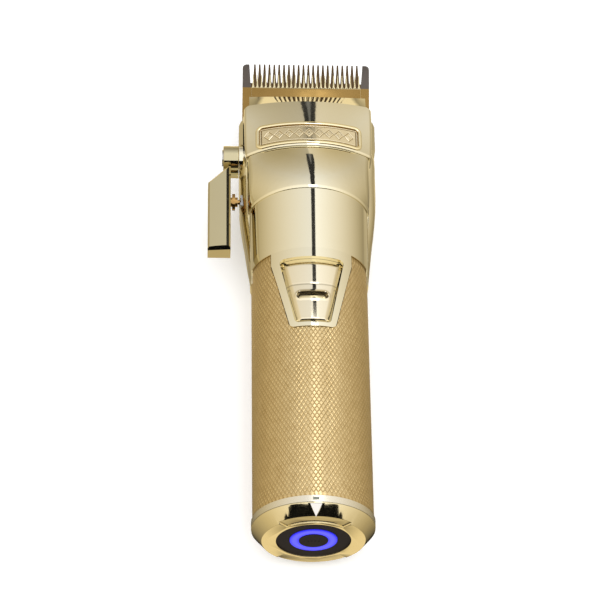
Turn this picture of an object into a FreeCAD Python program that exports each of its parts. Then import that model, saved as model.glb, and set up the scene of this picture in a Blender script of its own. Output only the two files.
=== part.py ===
"""Cordless hair clipper: metal body, toothed blade set, taper lever, slide switch and twist-lock battery.

Frame: +Y runs along the body from the charging end (y = 0) to the blade tips, +Z points to the front
(switch side) and +X to the right. The origin is the centre of the charging end. Millimetres.
The blade set has a frame of its own: d is the distance back from the tooth tips, h the height above
the plane where cutter and fixed blade touch.
"""
import FreeCAD
import Part
import math
import os

V = FreeCAD.Vector

# ---------------------------------------------------------------- driving dimensions
GRIP_R = 20.2            # outside of the knurled sleeve
SLEEVE_WALL = 1.3
SLEEVE_Y = (6.75, 100.5)
REAR_SLEEVE_END = 96.1   # the sleeve is shorter behind, under the rear shell's tips
NECK_R = 20.5            # polished neck and switch frame
NECK_FLARE = 0.6         # the neck widens this much on its way to the cowl
NECK_Y = 100.6           # upper end of the sleeve, where the whole neck begins
WALL = 1.6               # die-cast shell wall
CORE_R = (17.0, 18.7)    # structural tube inside the sleeve
CORE_Y = (6.7, 100.2)
PARTING_Z = 3.0          # front and rear shells meet here
GAP = 0.1                # parting line

CREASE_Y = 124.2         # lower edge of the cowl
BAND_Y = 144.3           # lower edge of the face band
LIP_Y = 171.7            # upper edge of the band's sloping lip
COWL_ROLL = (1.3, 0.5)   # rounding of the cowl's lower edge: along the body, and inwards
BAND_ROLL = (0.9, 0.65)  # the same on the band
FLANK_R = 6.5            # rounding of the rear shell's flanks towards the parting line
BAND_WALL = 1.5

CAP_RIM_R = 17.1
CAP_R = 20.45
CAP_H = 4.35
RING_Y = (4.4, 6.7)
DISC_R = 12.3
LED_R = (4.8, 7.85)
LUG_TURN = 30.0          # twist that frees the battery, degrees
LUG_WIDTH = 24.0
LUG_COUNT = 3

SWITCH_Y = (71.3, 97.0)  # window in the switch frame
SWITCH_HALF = (6.0, 11.2)
FRAME_Y = 69.8
SHOULDER_Y = 95.9
TONGUE_HALF = (7.6, 13.75)

TIP_Y, TIP_Z = 189.1, 3.0
BLADE_TILT = 20.0
FIXED_HALF = 23.0
FIXED_DEPTH = 27.0
FIXED_T = 2.4
FIXED_TEETH = 22
FIXED_PITCH = 1.767
FIXED_TOOTH = 7.0
OUTER_TOOTH_X = 20.1     # inner edge of the broad outer teeth
OUTER_ROUND = 1.4        # rounding of their outer corners
CUTTER_HALF = 19.75
CUTTER_D = (4.0, 15.5)
CUTTER_T = 2.0
CUTTER_TEETH = 26
CUTTER_PITCH = 1.534
CUTTER_TOOTH = 5.2
CUTTER_STROKE = 1.3      # each way from the middle
CARRIAGE_TRAVEL = 1.98

PIVOT_Y, PIVOT_Z = 150.0, 0.0
LEVER_SWING = 26.0
CRANK_R = CARRIAGE_TRAVEL / (2 * math.sin(math.radians(LEVER_SWING / 2)))
LEVER_X = (-35.3, -27.3)
LEVER_Z = (-3.4, 4.0)
LEVER_END_Y = 110.0
LEVER_BEVEL = 0.6
LEVER_END_BEVEL = 1.0
LEVER_SLANT_Y = (137.6, 144.2)   # the arm's slanted top, from its outer to its inner side
HUB_R = 4.35
HUB_X = (-29.9, -24.4)
PLUNGER_Y = 131.4

MOTOR_R = 13.2
MOTOR_Y = (97.5, 138.5)
SHAFT_R = 1.5
BOARD = (6.3, 78.0, 118.0, 14.2, 15.6)   # half width, y from, y to, z from, z to
CELL_R, CELL_Y = 13.2, (4.3, 69.5)

# ---------------------------------------------------------------- small helpers


def box(x0, x1, y0, y1, z0, z1):
    return Part.makeBox(x1 - x0, y1 - y0, z1 - z0, V(x0, y0, z0))


def cyl_x(r, x0, x1, y, z):
    return Part.makeCylinder(r, x1 - x0, V(x0, y, z), V(1, 0, 0))


def cyl_y(r, y0, y1, x=0.0, z=0.0):
    return Part.makeCylinder(r, y1 - y0, V(x, y0, z), V(0, 1, 0))


def cyl_z(r, z0, z1, x, y):
    return Part.makeCylinder(r, z1 - z0, V(x, y, z0), V(0, 0, 1))


def tube_y(r_out, r_in, y0, y1):
    return cyl_y(r_out, y0, y1).cut(cyl_y(r_in, y0 - 1, y1 + 1))


def sector_y(r_out, r_in, y0, y1, start, sweep):
    """Part of a tube about Y. Angles in degrees from +Z towards +X."""
    ring = Part.makeCylinder(r_out, y1 - y0, V(0, y0, 0), V(0, 1, 0), sweep)
    ring.rotate(V(0, 0, 0), V(0, 1, 0), start)
    return ring.cut(cyl_y(r_in, y0 - 1, y1 + 1))


def prism(points, vector):
    """A closed outline of (x, y, z) points, drawn out along a vector."""
    corners = [V(*p) for p in points]
    return Part.Face(Part.makePolygon(corners + corners[:1])).extrude(vector)


def revolved(profile):
    """An (r, y) outline turned about the Y axis."""
    corners = [V(r, y, 0) for r, y in profile]
    face = Part.Face(Part.makePolygon(corners + corners[:1]))
    return face.revolve(V(0, 0, 0), V(0, 1, 0), 360)


def fused(first, *rest):
    return first.fuse(list(rest)).removeSplitter() if rest else first


def mirrored(shape):
    return shape.mirror(V(0, 0, 0), V(1, 0, 0))


def section(y, half, front, back, inset=0.0):
    """A closed outline at y: a front arc and a back arc joined by straight sides with round corners.
    front and back are (height of the arc's middle, its radius, corner radius)."""
    a = half - inset
    points = []
    for (reach, radius, corner), sign in ((front, 1), (back, -1)):
        arc_r, round_r = radius - inset, max(corner - inset, 0.4)
        middle = reach - inset
        rise = math.sqrt((arc_r - round_r) ** 2 - (a - round_r) ** 2)
        centre_z = middle - arc_r
        round_c = V(a - round_r, 0, centre_z + rise)
        out = V(round_c.x, 0, round_c.z - centre_z).normalize()
        touch = round_c + out * round_r
        mid = round_c + (out + V(1, 0, 0)).normalize() * round_r
        points.append([V(0, y, sign * middle), V(touch.x, y, sign * touch.z),
                       V(mid.x, y, sign * mid.z), V(a, y, sign * round_c.z)])

    def left(p):
        return V(-p.x, p.y, p.z)

    (f_mid, f_touch, f_round, f_side), (b_mid, b_touch, b_round, b_side) = points
    edges = [Part.Arc(left(f_touch), f_mid, f_touch).toShape(),
             Part.Arc(f_touch, f_round, f_side).toShape(),
             Part.LineSegment(f_side, b_side).toShape(),
             Part.Arc(b_side, b_round, b_touch).toShape(),
             Part.Arc(b_touch, b_mid, left(b_touch)).toShape(),
             Part.Arc(left(b_touch), left(b_round), left(b_side)).toShape(),
             Part.LineSegment(left(b_side), left(f_side)).toShape(),
             Part.Arc(left(f_side), left(f_round), left(f_touch)).toShape()]
    return Part.Wire(edges)


def loft(stations, inset=0.0, ruled=False, stretch=0.0):
    """A solid through section stations; stretch carries an inner one past both ends."""
    wires = []
    for i, (y, half, front, back) in enumerate(stations):
        end = -stretch if i == 0 else stretch if i == len(stations) - 1 else 0.0
        wires.append(section(y + end, half, front, back, inset))
    return Part.makeLoft(wires, True, ruled)


def rolled_edge(station, roll):
    """A short solid below a loft's first station that rounds the loft's lower edge."""
    y, half, front, back = station
    length, drop = roll
    wires = []
    for step in range(5):
        a = math.radians(step * 22.5)
        wires.append(section(y - length * math.cos(a), half, front, back, drop * (1 - math.sin(a))))
    return Part.makeLoft(wires, True)


def to_blade(shape):
    """Carries a shape drawn with the tips at y = 0 and the contact plane at z = 0 to the head."""
    placed = shape.copy()
    turn = FreeCAD.Rotation(V(1, 0, 0), BLADE_TILT)
    placed.Placement = FreeCAD.Placement(V(0, TIP_Y, TIP_Z), turn).multiply(placed.Placement)
    return placed


def blade_box(x0, x1, d0, d1, h0, h1):
    return to_blade(box(x0, x1, -d1, -d0, h0, h1))


def blade_point(d, h, x=0.0):
    """Row-frame (x, y, z) of a point in the blade frame."""
    c, s = math.cos(math.radians(BLADE_TILT)), math.sin(math.radians(BLADE_TILT))
    return (x, TIP_Y - d * c - h * s, TIP_Z - d * s + h * c)


def in_front():
    return box(-40, 40, 60, 200, PARTING_Z, 40)


# ---------------------------------------------------------------- head sections
HIDDEN = (14.0, 34.0, 3.0)     # an arc on the side of a loft that the parting plane removes

COWL = [(CREASE_Y + COWL_ROLL[0], 21.3, (21.6, 21.8, 12.0), (16.0, 30.0, 6.0)),
        (130.0, 21.5, (21.3, 23.5, 10.0), (16.0, 30.0, 6.0)),
        (137.0, 21.6, (19.8, 27.5, 7.0), (16.0, 32.0, 5.0)),
        (144.2, 21.5, (17.2, 34.0, 3.5), (14.0, 34.0, 3.5))]
BAND = [(BAND_Y + BAND_ROLL[0], 22.3, (17.7, 35.0, 2.2), HIDDEN),
        (152.0, 22.6, (16.1, 42.0, 1.9), HIDDEN),
        (159.5, 22.7, (14.3, 54.0, 1.6), HIDDEN),
        (166.5, 22.7, (12.4, 70.0, 1.4), HIDDEN)]
LIP = [BAND[-1],
       (LIP_Y, 22.3, (7.7, 400.0, 1.2), HIDDEN)]


def flank(half, rim):
    """Front side of a rear section that rounds in from its full half width to the rim's."""
    radius, arc_r = FLANK_R, 34.0
    centre_z = PARTING_Z - GAP - math.sqrt(radius ** 2 - (radius - half + rim) ** 2)
    rise = math.sqrt((arc_r - radius) ** 2 - (half - radius) ** 2)
    return (centre_z - rise + arc_r, arc_r, radius)


REAR = [(96.2, 20.45, flank(20.45, 20.05), (20.45, 20.6, 9.0)),
        (104.0, 21.2, flank(21.2, 20.35), (20.7, 22.0, 9.0)),
        (112.0, 22.1, flank(22.1, 20.6), (20.9, 25.0, 9.0)),
        (120.0, 23.1, flank(23.1, 20.85), (21.0, 30.0, 9.0)),
        (128.0, 23.9, flank(23.9, 21.45), (20.8, 38.0, 8.0)),
        (136.0, 24.2, flank(24.2, 21.6), (18.9, 52.0, 7.0)),
        (144.0, 24.2, flank(24.2, 22.0), (16.0, 90.0, 5.0)),
        (150.0, 24.1, flank(24.1, 22.5), (13.8, 140.0, 4.0))]
REAR_TOP = [REAR[-1],
            (151.6, 22.9, flank(22.9, 22.6), (13.2, 160.0, 3.5)),
            (166.5, 22.9, flank(22.9, 22.6), (7.8, 300.0, 2.5))]


# ---------------------------------------------------------------- body and shells
def trapezoid(y0, half0, y1, half1, z=15.0, height=12.0):
    """A flat trapezoid narrowing towards y0, drawn forward through the neck wall."""
    outline = [(-half0, y0, z), (half0, y0, z), (half1, y1, z), (-half1, y1, z)]
    return prism(outline, V(0, 0, height))


def rounded_trapezoid(y0, half0, y1, half1, radius):
    body = trapezoid(y0, half0, y1, half1)
    upright = [e for e in body.Edges if abs(e.tangentAt(e.FirstParameter).z) > 0.99]
    return body.makeFillet(radius, upright)


def switch_tongue(clearance):
    """Outline of the switch frame below the neck, with its short upright shoulders."""
    shoulder = TONGUE_HALF[1] + clearance
    reach = 10.0
    spread = shoulder + reach * (TONGUE_HALF[1] - TONGUE_HALF[0]) / (SHOULDER_Y - FRAME_Y)
    taper = rounded_trapezoid(FRAME_Y - clearance, TONGUE_HALF[0] + clearance, SHOULDER_Y + reach, spread, 1.6)
    return taper.common(box(-shoulder, shoulder, FRAME_Y - 2.0, 102.0, 15.0, 27.0))


def grip_sleeve():
    y0, y1 = SLEEVE_Y
    sleeve = tube_y(GRIP_R, GRIP_R - SLEEVE_WALL, y0, y1)
    rear_end = box(-30, 30, REAR_SLEEVE_END, y1 + 1, -30, PARTING_Z + GAP)
    return sleeve.cut([rear_end, switch_tongue(0.12)])


def core_tube():
    """Structural tube: battery bay below, motor above, with the bayonet track and the switch slot."""
    r_in, r_out = CORE_R
    tube = tube_y(r_out, r_in, *CORE_Y)
    cuts = [box(-1.7, 1.7, 82.6, 88.4, 15, 20)]
    for i in range(LUG_COUNT):
        at = i * 360.0 / LUG_COUNT - LUG_WIDTH / 2
        cuts.append(sector_y(18.0, 16.0, 7.2, 9.4, at - 1, LUG_WIDTH + LUG_TURN + 2))
        cuts.append(sector_y(18.0, 16.0, 6.0, 7.3, at + LUG_TURN - 1, LUG_WIDTH + 2))
    return tube.cut(cuts)


def index_ring():
    y0, y1 = RING_Y
    ring = tube_y(20.5, 17.05, y0, y1)
    slots = [sector_y(18.0, 16.0, y0 - 1, y1 + 1, i * 360.0 / LUG_COUNT - LUG_WIDTH / 2 + LUG_TURN - 1,
                      LUG_WIDTH + 2) for i in range(LUG_COUNT)]
    return ring.cut(slots + [ring_mark_blank()])


def ring_mark_blank():
    return box(-1.05, 1.05, 5.0, 6.1, 20.2, 21.5)


def ring_mark():
    return ring_mark_blank().common(cyl_y(20.5, 4.0, 7.0))


def neck():
    top = CREASE_Y + COWL_ROLL[0]
    tube = revolved([(18.85, NECK_Y), (NECK_R, NECK_Y), (NECK_R + NECK_FLARE, top), (18.85, top)])
    tongue = tube_y(NECK_R, 18.8, FRAME_Y - 2, 101.0).common(switch_tongue(0.0))
    window = rounded_trapezoid(SWITCH_Y[0], SWITCH_HALF[0], SWITCH_Y[1], SWITCH_HALF[1], 1.4)
    return fused(tube, tongue).cut(window)


POSTS = ((16.0, 109.0), (17.2, 139.5))   # x and y of the shell posts


def front_shell():
    cowl = fused(loft(COWL), rolled_edge(COWL[0], COWL_ROLL)).cut(loft(COWL, WALL, stretch=1.6))
    shell = fused(neck(), cowl).common(in_front())
    skin = fused(cyl_y(NECK_R - 0.4, 100, CREASE_Y + COWL_ROLL[0]), loft(COWL, 0.4))
    posts = [cyl_z(2.2, -5.0, 15.0, side * x, y) for x, y in POSTS for side in (-1, 1)]
    shell = fused(shell, *[post.common(skin) for post in posts])
    bores = [cyl_z(1.1, -6.0, 6.0, side * x, y) for x, y in POSTS for side in (-1, 1)]
    return shell.cut(bores)


def rear_outside():
    return fused(loft(REAR), loft(REAR_TOP, ruled=True))


def screw_seat(y):
    """Z of the seat under a rear shell screw's head; the head end of the shell is thinner."""
    return -9.2 if y < BAND_Y - 20 else -10.2


def rear_shell():
    outside = rear_outside()
    inside = fused(loft(REAR, WALL, stretch=0.3), loft(REAR_TOP, WALL, ruled=True, stretch=0.3))
    rim_core = fused(cyl_y(19.9, 90, 125), loft([COWL[0], COWL[-1]], 1.4, stretch=0.5),
                     box(-20.6, 20.6, 143, 180, -5, 8))
    rim = outside.common(box(-40, 40, 60, 200, 1.3, 10)).cut(rim_core)
    shell = fused(outside.cut(inside), rim)
    bosses = [cyl_z(3.5, -20, -5.3, side * x, y).common(outside) for x, y in POSTS for side in (-1, 1)]
    shell = fused(shell, *bosses)
    cuts = [box(-40, 40, 60, 200, PARTING_Z - GAP, 40),
            cyl_y(CORE_R[1] + 0.1, 90, CORE_Y[1] + 0.2),
            to_blade(box(-30, 30, -FIXED_DEPTH - 0.1, 20, -12, 0.0)),
            cyl_x(4.7, -26, -22.95, PIVOT_Y, PIVOT_Z),
            cyl_x(2.85, -26, -18, PIVOT_Y, PIVOT_Z),
            detent_arc(0.05, -26.0)]
    for x, y in POSTS:
        for side in (-1, 1):
            cuts.append(cyl_z(1.35, -20, 0, side * x, y))
            cuts.append(cyl_z(2.45, -22, screw_seat(y), side * x, y))
    return shell.cut(cuts)


def shell_screws():
    screws = []
    for x, y in POSTS:
        seat = screw_seat(y)
        for side in (-1, 1):
            head = cyl_z(2.3, seat - 1.5, seat - 0.02, side * x, y)
            socket = cyl_z(1.0, seat - 2, seat - 0.7, side * x, y)
            shank = cyl_z(1.1, seat - 0.1, 3.0, side * x, y)
            screws.append(fused(head, shank).cut(socket))
    return Part.makeCompound(screws)


# ---------------------------------------------------------------- face band and badge
BADGE = (-17.6, 17.6, 146.2, 154.4)


def badge_outline(grow, radius):
    x0, x1, y0, y1 = BADGE
    body = box(x0 - grow, x1 + grow, y0 - grow, y1 + grow, 4.0, 24.0)
    upright = [e for e in body.Edges if abs(e.tangentAt(e.FirstParameter).z) > 0.99]
    return body.makeFillet(radius, upright)


def face_band():
    outside = fused(loft(BAND), rolled_edge(BAND[0], BAND_ROLL), loft(LIP, ruled=True))
    inside = fused(loft(BAND, BAND_WALL, stretch=1.2), loft(LIP, BAND_WALL, ruled=True, stretch=0.4))
    corner = prism([(20.8, 166.7, 0), (22.9, 165.3, 0), (26, 165.3, 0), (26, 174, 0), (20.8, 174, 0)],
                   V(0, 0, 30))
    frame = loft(shifted(BAND, 0.3), stretch=0.6).common(badge_outline(1.2, 2.3))
    pocket = badge_outline(0.0, 1.2).cut(loft(shifted(BAND, -0.75)))
    band = fused(outside, frame).cut([inside, corner, mirrored(corner), pocket])
    return band.common(in_front())


def shifted(stations, out):
    """Stations grown outwards all round by a distance."""
    return [(y, half + out, (f[0] + out, f[1] + out, f[2] + out), (b[0] + out, b[1] + out, b[2] + out))
            for y, half, f, b in stations]


def badge_plate():
    plate = loft(shifted(BAND, 0.1)).cut(loft(shifted(BAND, -0.7)))
    return plate.common(badge_outline(-0.08, 1.1)).common(in_front())


def side_rail(side):
    """Guide rail on the head's side that a clip-on comb slides over."""
    outline = [(22.95, 152.3, -6), (24.3, 153.0, -6), (24.3, 163.2, -6), (23.6, 164.2, -6),
               (22.95, 164.2, -6)]
    rail = prism(outline, V(0, 0, 9.4))
    groove = box(24.05, 25, 154.2, 162.2, -2.2, -0.6)
    slope = prism([(22.95, 150, 3.4), (24.4, 150, 1.4), (27, 150, 1.4), (27, 150, 5), (22.95, 150, 5)],
                  V(0, 20, 0))
    rail = rail.cut([groove, slope])
    return rail if side > 0 else mirrored(rail).cut(cyl_x(HUB_R + 0.5, -26, -20, PIVOT_Y, PIVOT_Z))


# ---------------------------------------------------------------- blades
def comb_outline(half, depth, tips, root, count, pitch, tooth, outer=False):
    """Plan of a toothed plate in blade coordinates, tips towards +y. tooth holds a tooth's half widths at
    its tip, above its root and at its root. outer adds the broad outer teeth with their round corners."""
    tip_half, base_half, root_half = tooth
    swell = 0.7
    side = [(-half, -depth)]
    if outer:
        for step in range(4):
            a = math.radians(step * 30)
            side.append((-half + OUTER_ROUND * (1 - math.cos(a)), -tips - OUTER_ROUND * (1 - math.sin(a))))
        side += [(-OUTER_TOOTH_X - 0.45, -tips), (-OUTER_TOOTH_X, -root)]
    else:
        side.append((-half, -root))
    points = list(side)
    first = -pitch * (count - 1) / 2
    for i in range(count):
        x = first + i * pitch
        points += [(x - root_half, -root), (x - base_half, swell - root), (x - tip_half, -tips),
                   (x + tip_half, -tips), (x + base_half, swell - root), (x + root_half, -root)]
    return points + [(-x, y) for x, y in reversed(side)]


def toothed_plate(outline, h0, h1):
    return prism([(x, y, h0) for x, y in outline], V(0, 0, h1 - h0))


def fixed_blade():
    outline = comb_outline(FIXED_HALF, FIXED_DEPTH, 0.0, FIXED_TOOTH, FIXED_TEETH, FIXED_PITCH,
                           (0.27, 0.66, 0.84), outer=True)
    plate = toothed_plate(outline, -FIXED_T, 0.0)
    thinned = -FIXED_TOOTH - 5
    under = prism([(-30, thinned, -FIXED_T), (-30, 1, -0.45), (-30, 1, -5), (-30, thinned, -5)], V(60, 0, 0))
    over = prism([(20.0, -8.4, 0), (20.0, 1, -0.22), (20.0, 1, 2), (20.0, -8.4, 2)], V(10, 0, 0))
    holes = []
    for x in (-9.0, 9.0):
        holes.append(cyl_z(1.35, -5, 2, x, -SCREW_D))
        holes.append(cyl_z(2.6, -5, -FIXED_T + 1.35, x, -SCREW_D))
    return to_blade(plate.cut([under, over, mirrored(over)] + holes))


SCREW_D = 22.3


def blade_screws():
    screws = []
    for x in (-9.0, 9.0):
        head = cyl_z(2.45, -FIXED_T + 0.1, -FIXED_T + 1.33, x, -SCREW_D)
        slot = box(x - 1.9, x + 1.9, -SCREW_D - 0.35, -SCREW_D + 0.35, -FIXED_T - 1, -FIXED_T + 0.65)
        cross = box(x - 0.35, x + 0.35, -SCREW_D - 1.9, -SCREW_D + 1.9, -FIXED_T - 1, -FIXED_T + 0.65)
        shank = cyl_z(1.25, -FIXED_T + 1.0, 3.0, x, -SCREW_D)
        screws.append(to_blade(fused(head, shank).cut([slot, cross])))
    return Part.makeCompound(screws)


def blade_base():
    """Seat of the fixed blade, tapped for its two screws."""
    block = fused(box(-21.2, 21.2, -21.6, -17.3, 0.0, 1.9), box(-21.2, 21.2, -36.0, -21.5, 0.0, 3.4),
                  box(-21.2, 21.2, -36.0, -FIXED_DEPTH - 0.2, -0.7, 1.0))
    holes = [cyl_z(1.25, -2, 4, x, -SCREW_D) for x in (-9.0, 9.0)]
    room = fused(loft(REAR_TOP, WALL + 0.05, ruled=True, stretch=0.3), box(-22, 22, 166.4, 180, -12, 10))
    return to_blade(block.cut(holes)).common(room)


def cutter_blade():
    d0, d1 = CUTTER_D
    outline = comb_outline(CUTTER_HALF, d1, d0, d0 + CUTTER_TOOTH, CUTTER_TEETH, CUTTER_PITCH,
                           (0.09, 0.27, 0.52))
    plate = toothed_plate(outline, 0.02, CUTTER_T)
    slope = prism([(-30, -d0 - CUTTER_TOOTH - 0.4, CUTTER_T), (-30, -d0 + 1, 0.35), (-30, -d0 + 1, 5),
                   (-30, -d0 - CUTTER_TOOTH - 0.4, 5)], V(60, 0, 0))
    return to_blade(plate.cut(slope))


def yoke():
    """Plastic follower: a foot on the cutter, an arm back to the eccentric, and its open fork."""
    foot = blade_box(-12, 12, 13.8, 16.0, CUTTER_T, 4.2)
    profile = [blade_point(13.8, CUTTER_T, -6), blade_point(16.0, CUTTER_T, -6), (-6, 171.5, 0.8),
               (-6, 151.5, 0.8), (-6, 151.5, 4.6), (-6, 172.0, 4.6), blade_point(13.8, 4.2, -6)]
    arm = prism(profile, V(12, 0, 0))
    lug = blade_box(-5, 5, 15.9, 19.3, 2.0, 4.4)
    tail = box(-7.0, 7.0, 151.5, 157.5, -3.6, 4.6)
    slot = box(-FORK_HALF, FORK_HALF, 150, 157.0, -6, 3.45)
    body = fused(foot, arm, lug, tail)
    return body.cut([slot, to_blade(cyl_x(0.86, -20, 20, -17.6, 3.2))])


CAM_BEARING_R = 2.0
FORK_HALF = CAM_BEARING_R + 2 * CUTTER_STROKE + 0.1


def taper_carriage():
    """Slides along the blade seat; ears hold the guide rod and a slotted lug takes the crank pin."""
    plate = box(-14.8, 14.8, -41.5, -20.0, 3.55, 4.2)
    ears = [box(side * 13.6 - 1.0, side * 13.6 + 1.0, -20.2, -16.2, 2.1, 4.2) for side in (-1, 1)]
    lug = box(-14.8, -12.5, -41.5, -36.2, 4.0, CRANK_H + 2.7)
    window = box(-8.4, 8.4, -45, -22.5, 0, 10)
    clear = box(-7.8, 7.8, -22.6, -19.0, 4.0, 8)
    pin_slot = box(-16, -11, -CRANK_D - 1.28, -CRANK_D + 1.28, CRANK_H - 1.4, CRANK_H + 1.5)
    rod_holes = cyl_x(0.8, -20, 20, -17.6, 3.2)
    return to_blade(fused(plate, *ears, lug).cut([window, clear, pin_slot, rod_holes]))


CRANK_D, CRANK_H = 38.77, 6.26    # crank pin at rest, in the blade frame


def guide_rod():
    return to_blade(cyl_x(0.8, -14.6, 14.6, -17.6, 3.2))


def tension_springs():
    arms = [box(min(s * 8.2, s * 11.2), max(s * 8.2, s * 11.2), -24.0, -15.0, 4.22, 4.6) for s in (-1, 1)]
    return Part.makeCompound([to_blade(a) for a in arms])


# ---------------------------------------------------------------- motor
def rotor_magnet():
    return tube_y(7.0, SHAFT_R, 104.0, 132.0)


def motor_shaft():
    return cyl_y(SHAFT_R, 96.5, 147.4)


def eccentric_cam():
    hub = fused(cyl_y(5.4, 142.6, 147.5), cyl_y(1.2, 147.4, 155.9, 0, CUTTER_STROKE))
    weight_relief = box(-6, 6, 144.0, 149, 3.2, 8)
    return hub.cut([cyl_y(SHAFT_R, 140, 147.4), weight_relief])


def cam_bearing():
    ring = cyl_y(CAM_BEARING_R, 151.9, 155.2, 0, CUTTER_STROKE)
    return ring.cut(cyl_y(1.2, 150, 157, 0, CUTTER_STROKE))


def ball_bearing(y0, y1):
    return tube_y(5.0, SHAFT_R + 0.05, y0, y1)


def motor_can():
    y0, y1 = MOTOR_Y
    wall = tube_y(MOTOR_R, 12.1, y0, y1)
    floor = tube_y(12.2, 2.5, y0, y0 + 1.2)
    seat = tube_y(6.4, 5.0, y0 + 1.1, 102.4)
    return fused(wall, floor, seat)


def motor_cover():
    plate = cyl_y(12.05, 135.0, 138.5).cut([cyl_y(5.0, 134, 137.6), cyl_y(2.5, 137, 140)])
    holes = [cyl_y(1.0, 134, 140, side * 8.5, 0) for side in (-1, 1)]
    return plate.cut(holes)


def stator_core():
    return tube_y(12.05, 9.6, 104.5, 131.5)


def stator_coils():
    return Part.makeCompound([sector_y(9.5, 7.4, 103.5, 132.5, i * 60 + 4, 52) for i in range(6)])


def motor_mount():
    """Plate that the motor's face is screwed to, held between the shells."""
    plate = cyl_y(16.0, 138.6, 141.2).common(box(-16, 16, 138, 142, -13.5, 14.2))
    holes = [cyl_y(4.2, 138, 142)] + [cyl_y(1.2, 138, 142, side * 8.5, 0) for side in (-1, 1)]
    posts = [cyl_z(3.7, -20, 20, side * POSTS[1][0], POSTS[1][1]) for side in (-1, 1)]
    return plate.cut(holes + posts)


def motor_screws():
    screws = []
    for side in (-1, 1):
        head = cyl_y(1.9, 141.2, 142.3, side * 8.5, 0)
        socket = cyl_y(0.8, 141.7, 143, side * 8.5, 0)
        screws.append(fused(head, cyl_y(1.0, 135.2, 141.3, side * 8.5, 0)).cut(socket))
    return Part.makeCompound(screws)


def motor_cradle():
    """Rubber ring that centres the motor's rear end in the neck."""
    ring = tube_y(18.6, MOTOR_R, 101.5, 105.2)
    top = box(-7.5, 7.5, 101, 107, 13.5, 20)
    posts = [cyl_z(2.5, -20, 20, side * POSTS[0][0], POSTS[0][1]) for side in (-1, 1)]
    return ring.cut([top] + posts)


# ---------------------------------------------------------------- electronics and switch
def control_board():
    half, y0, y1, z0, z1 = BOARD
    return box(-half, half, y0, y1, z0, z1)


def board_parts():
    """Driver chips and capacitors on the back and front of the board."""
    z0, z1 = BOARD[3], BOARD[4]
    chips = [box(-3.5, 3.5, 98.0, 105.0, z1, z1 + 0.9), box(-2.5, 2.5, 108.0, 112.0, z1, z1 + 0.9)]
    caps = [cyl_z(1.6, z1, z1 + 1.2, x, 115.5) for x in (-3.2, 3.2)]
    return Part.makeCompound(chips + caps)


def slide_contact():
    body = box(-3.2, 3.2, 80.0, 91.0, BOARD[4], 16.6)
    return body.cut(box(-1.5, 1.5, 82.8, 88.2, 16.0, 18))


def switch_blank(lower, upper, y0, y1, inset):
    slope = (SWITCH_HALF[1] - SWITCH_HALF[0]) / (SWITCH_Y[1] - SWITCH_Y[0])
    half0 = SWITCH_HALF[0] + slope * (y0 - SWITCH_Y[0]) - inset
    half1 = SWITCH_HALF[0] + slope * (y1 - SWITCH_Y[0]) - inset
    return tube_y(upper, lower, y0, y1).common(rounded_trapezoid(y0, half0, y1, half1, 1.2))


def switch_slider():
    plate = switch_blank(18.85, 20.1, 71.55, 95.3, 0.25)
    crown = switch_blank(18.85, 20.75, 72.3, 94.0, 1.5)
    crease = revolved([(20.80, 72.0), (20.42, 86.1), (20.80, 94.3), (22, 94.3), (22, 72.0)])
    lips = rounded_slot(-5.75, 5.75, 79.75, 83.75).common(cyl_y(20.85, 70, 100)).cut(cyl_y(20.0, 70, 100))
    groove = rounded_slot(-5.15, 5.15, 80.35, 83.15).cut(cyl_y(19.55, 70, 100))
    tab = box(-1.2, 1.2, 83.5, 85.5, 16.2, 19.2)
    return fused(fused(fused(plate, crown).cut(crease), lips).cut(groove), tab)


def rounded_slot(x0, x1, y0, y1):
    r = (y1 - y0) / 2
    return fused(box(x0 + r, x1 - r, y0, y1, 15, 25), cyl_z(r, 15, 25, x0 + r, y0 + r),
                 cyl_z(r, 15, 25, x1 - r, y0 + r))


# ---------------------------------------------------------------- taper lever
def bevel_cut(start, end, inward, depth):
    """Triangular cutter that takes a 45 degree bevel off a front edge running from start to end."""
    along = V(*end) - V(*start)
    across = V(*inward).normalize()
    up = across.cross(along).normalize()
    up = up if up.z > 0 else up * -1
    low = V(*start) - up * depth
    high = V(*start) + across * depth
    spread = (high - low) * 0.5
    apex = V(*start) + (up - across) * (2 * depth)
    face = Part.Face(Part.makePolygon([low - spread, high + spread, apex, low - spread]))
    face.translate(along * -0.1)
    return face.extrude(along * 1.2)


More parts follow.
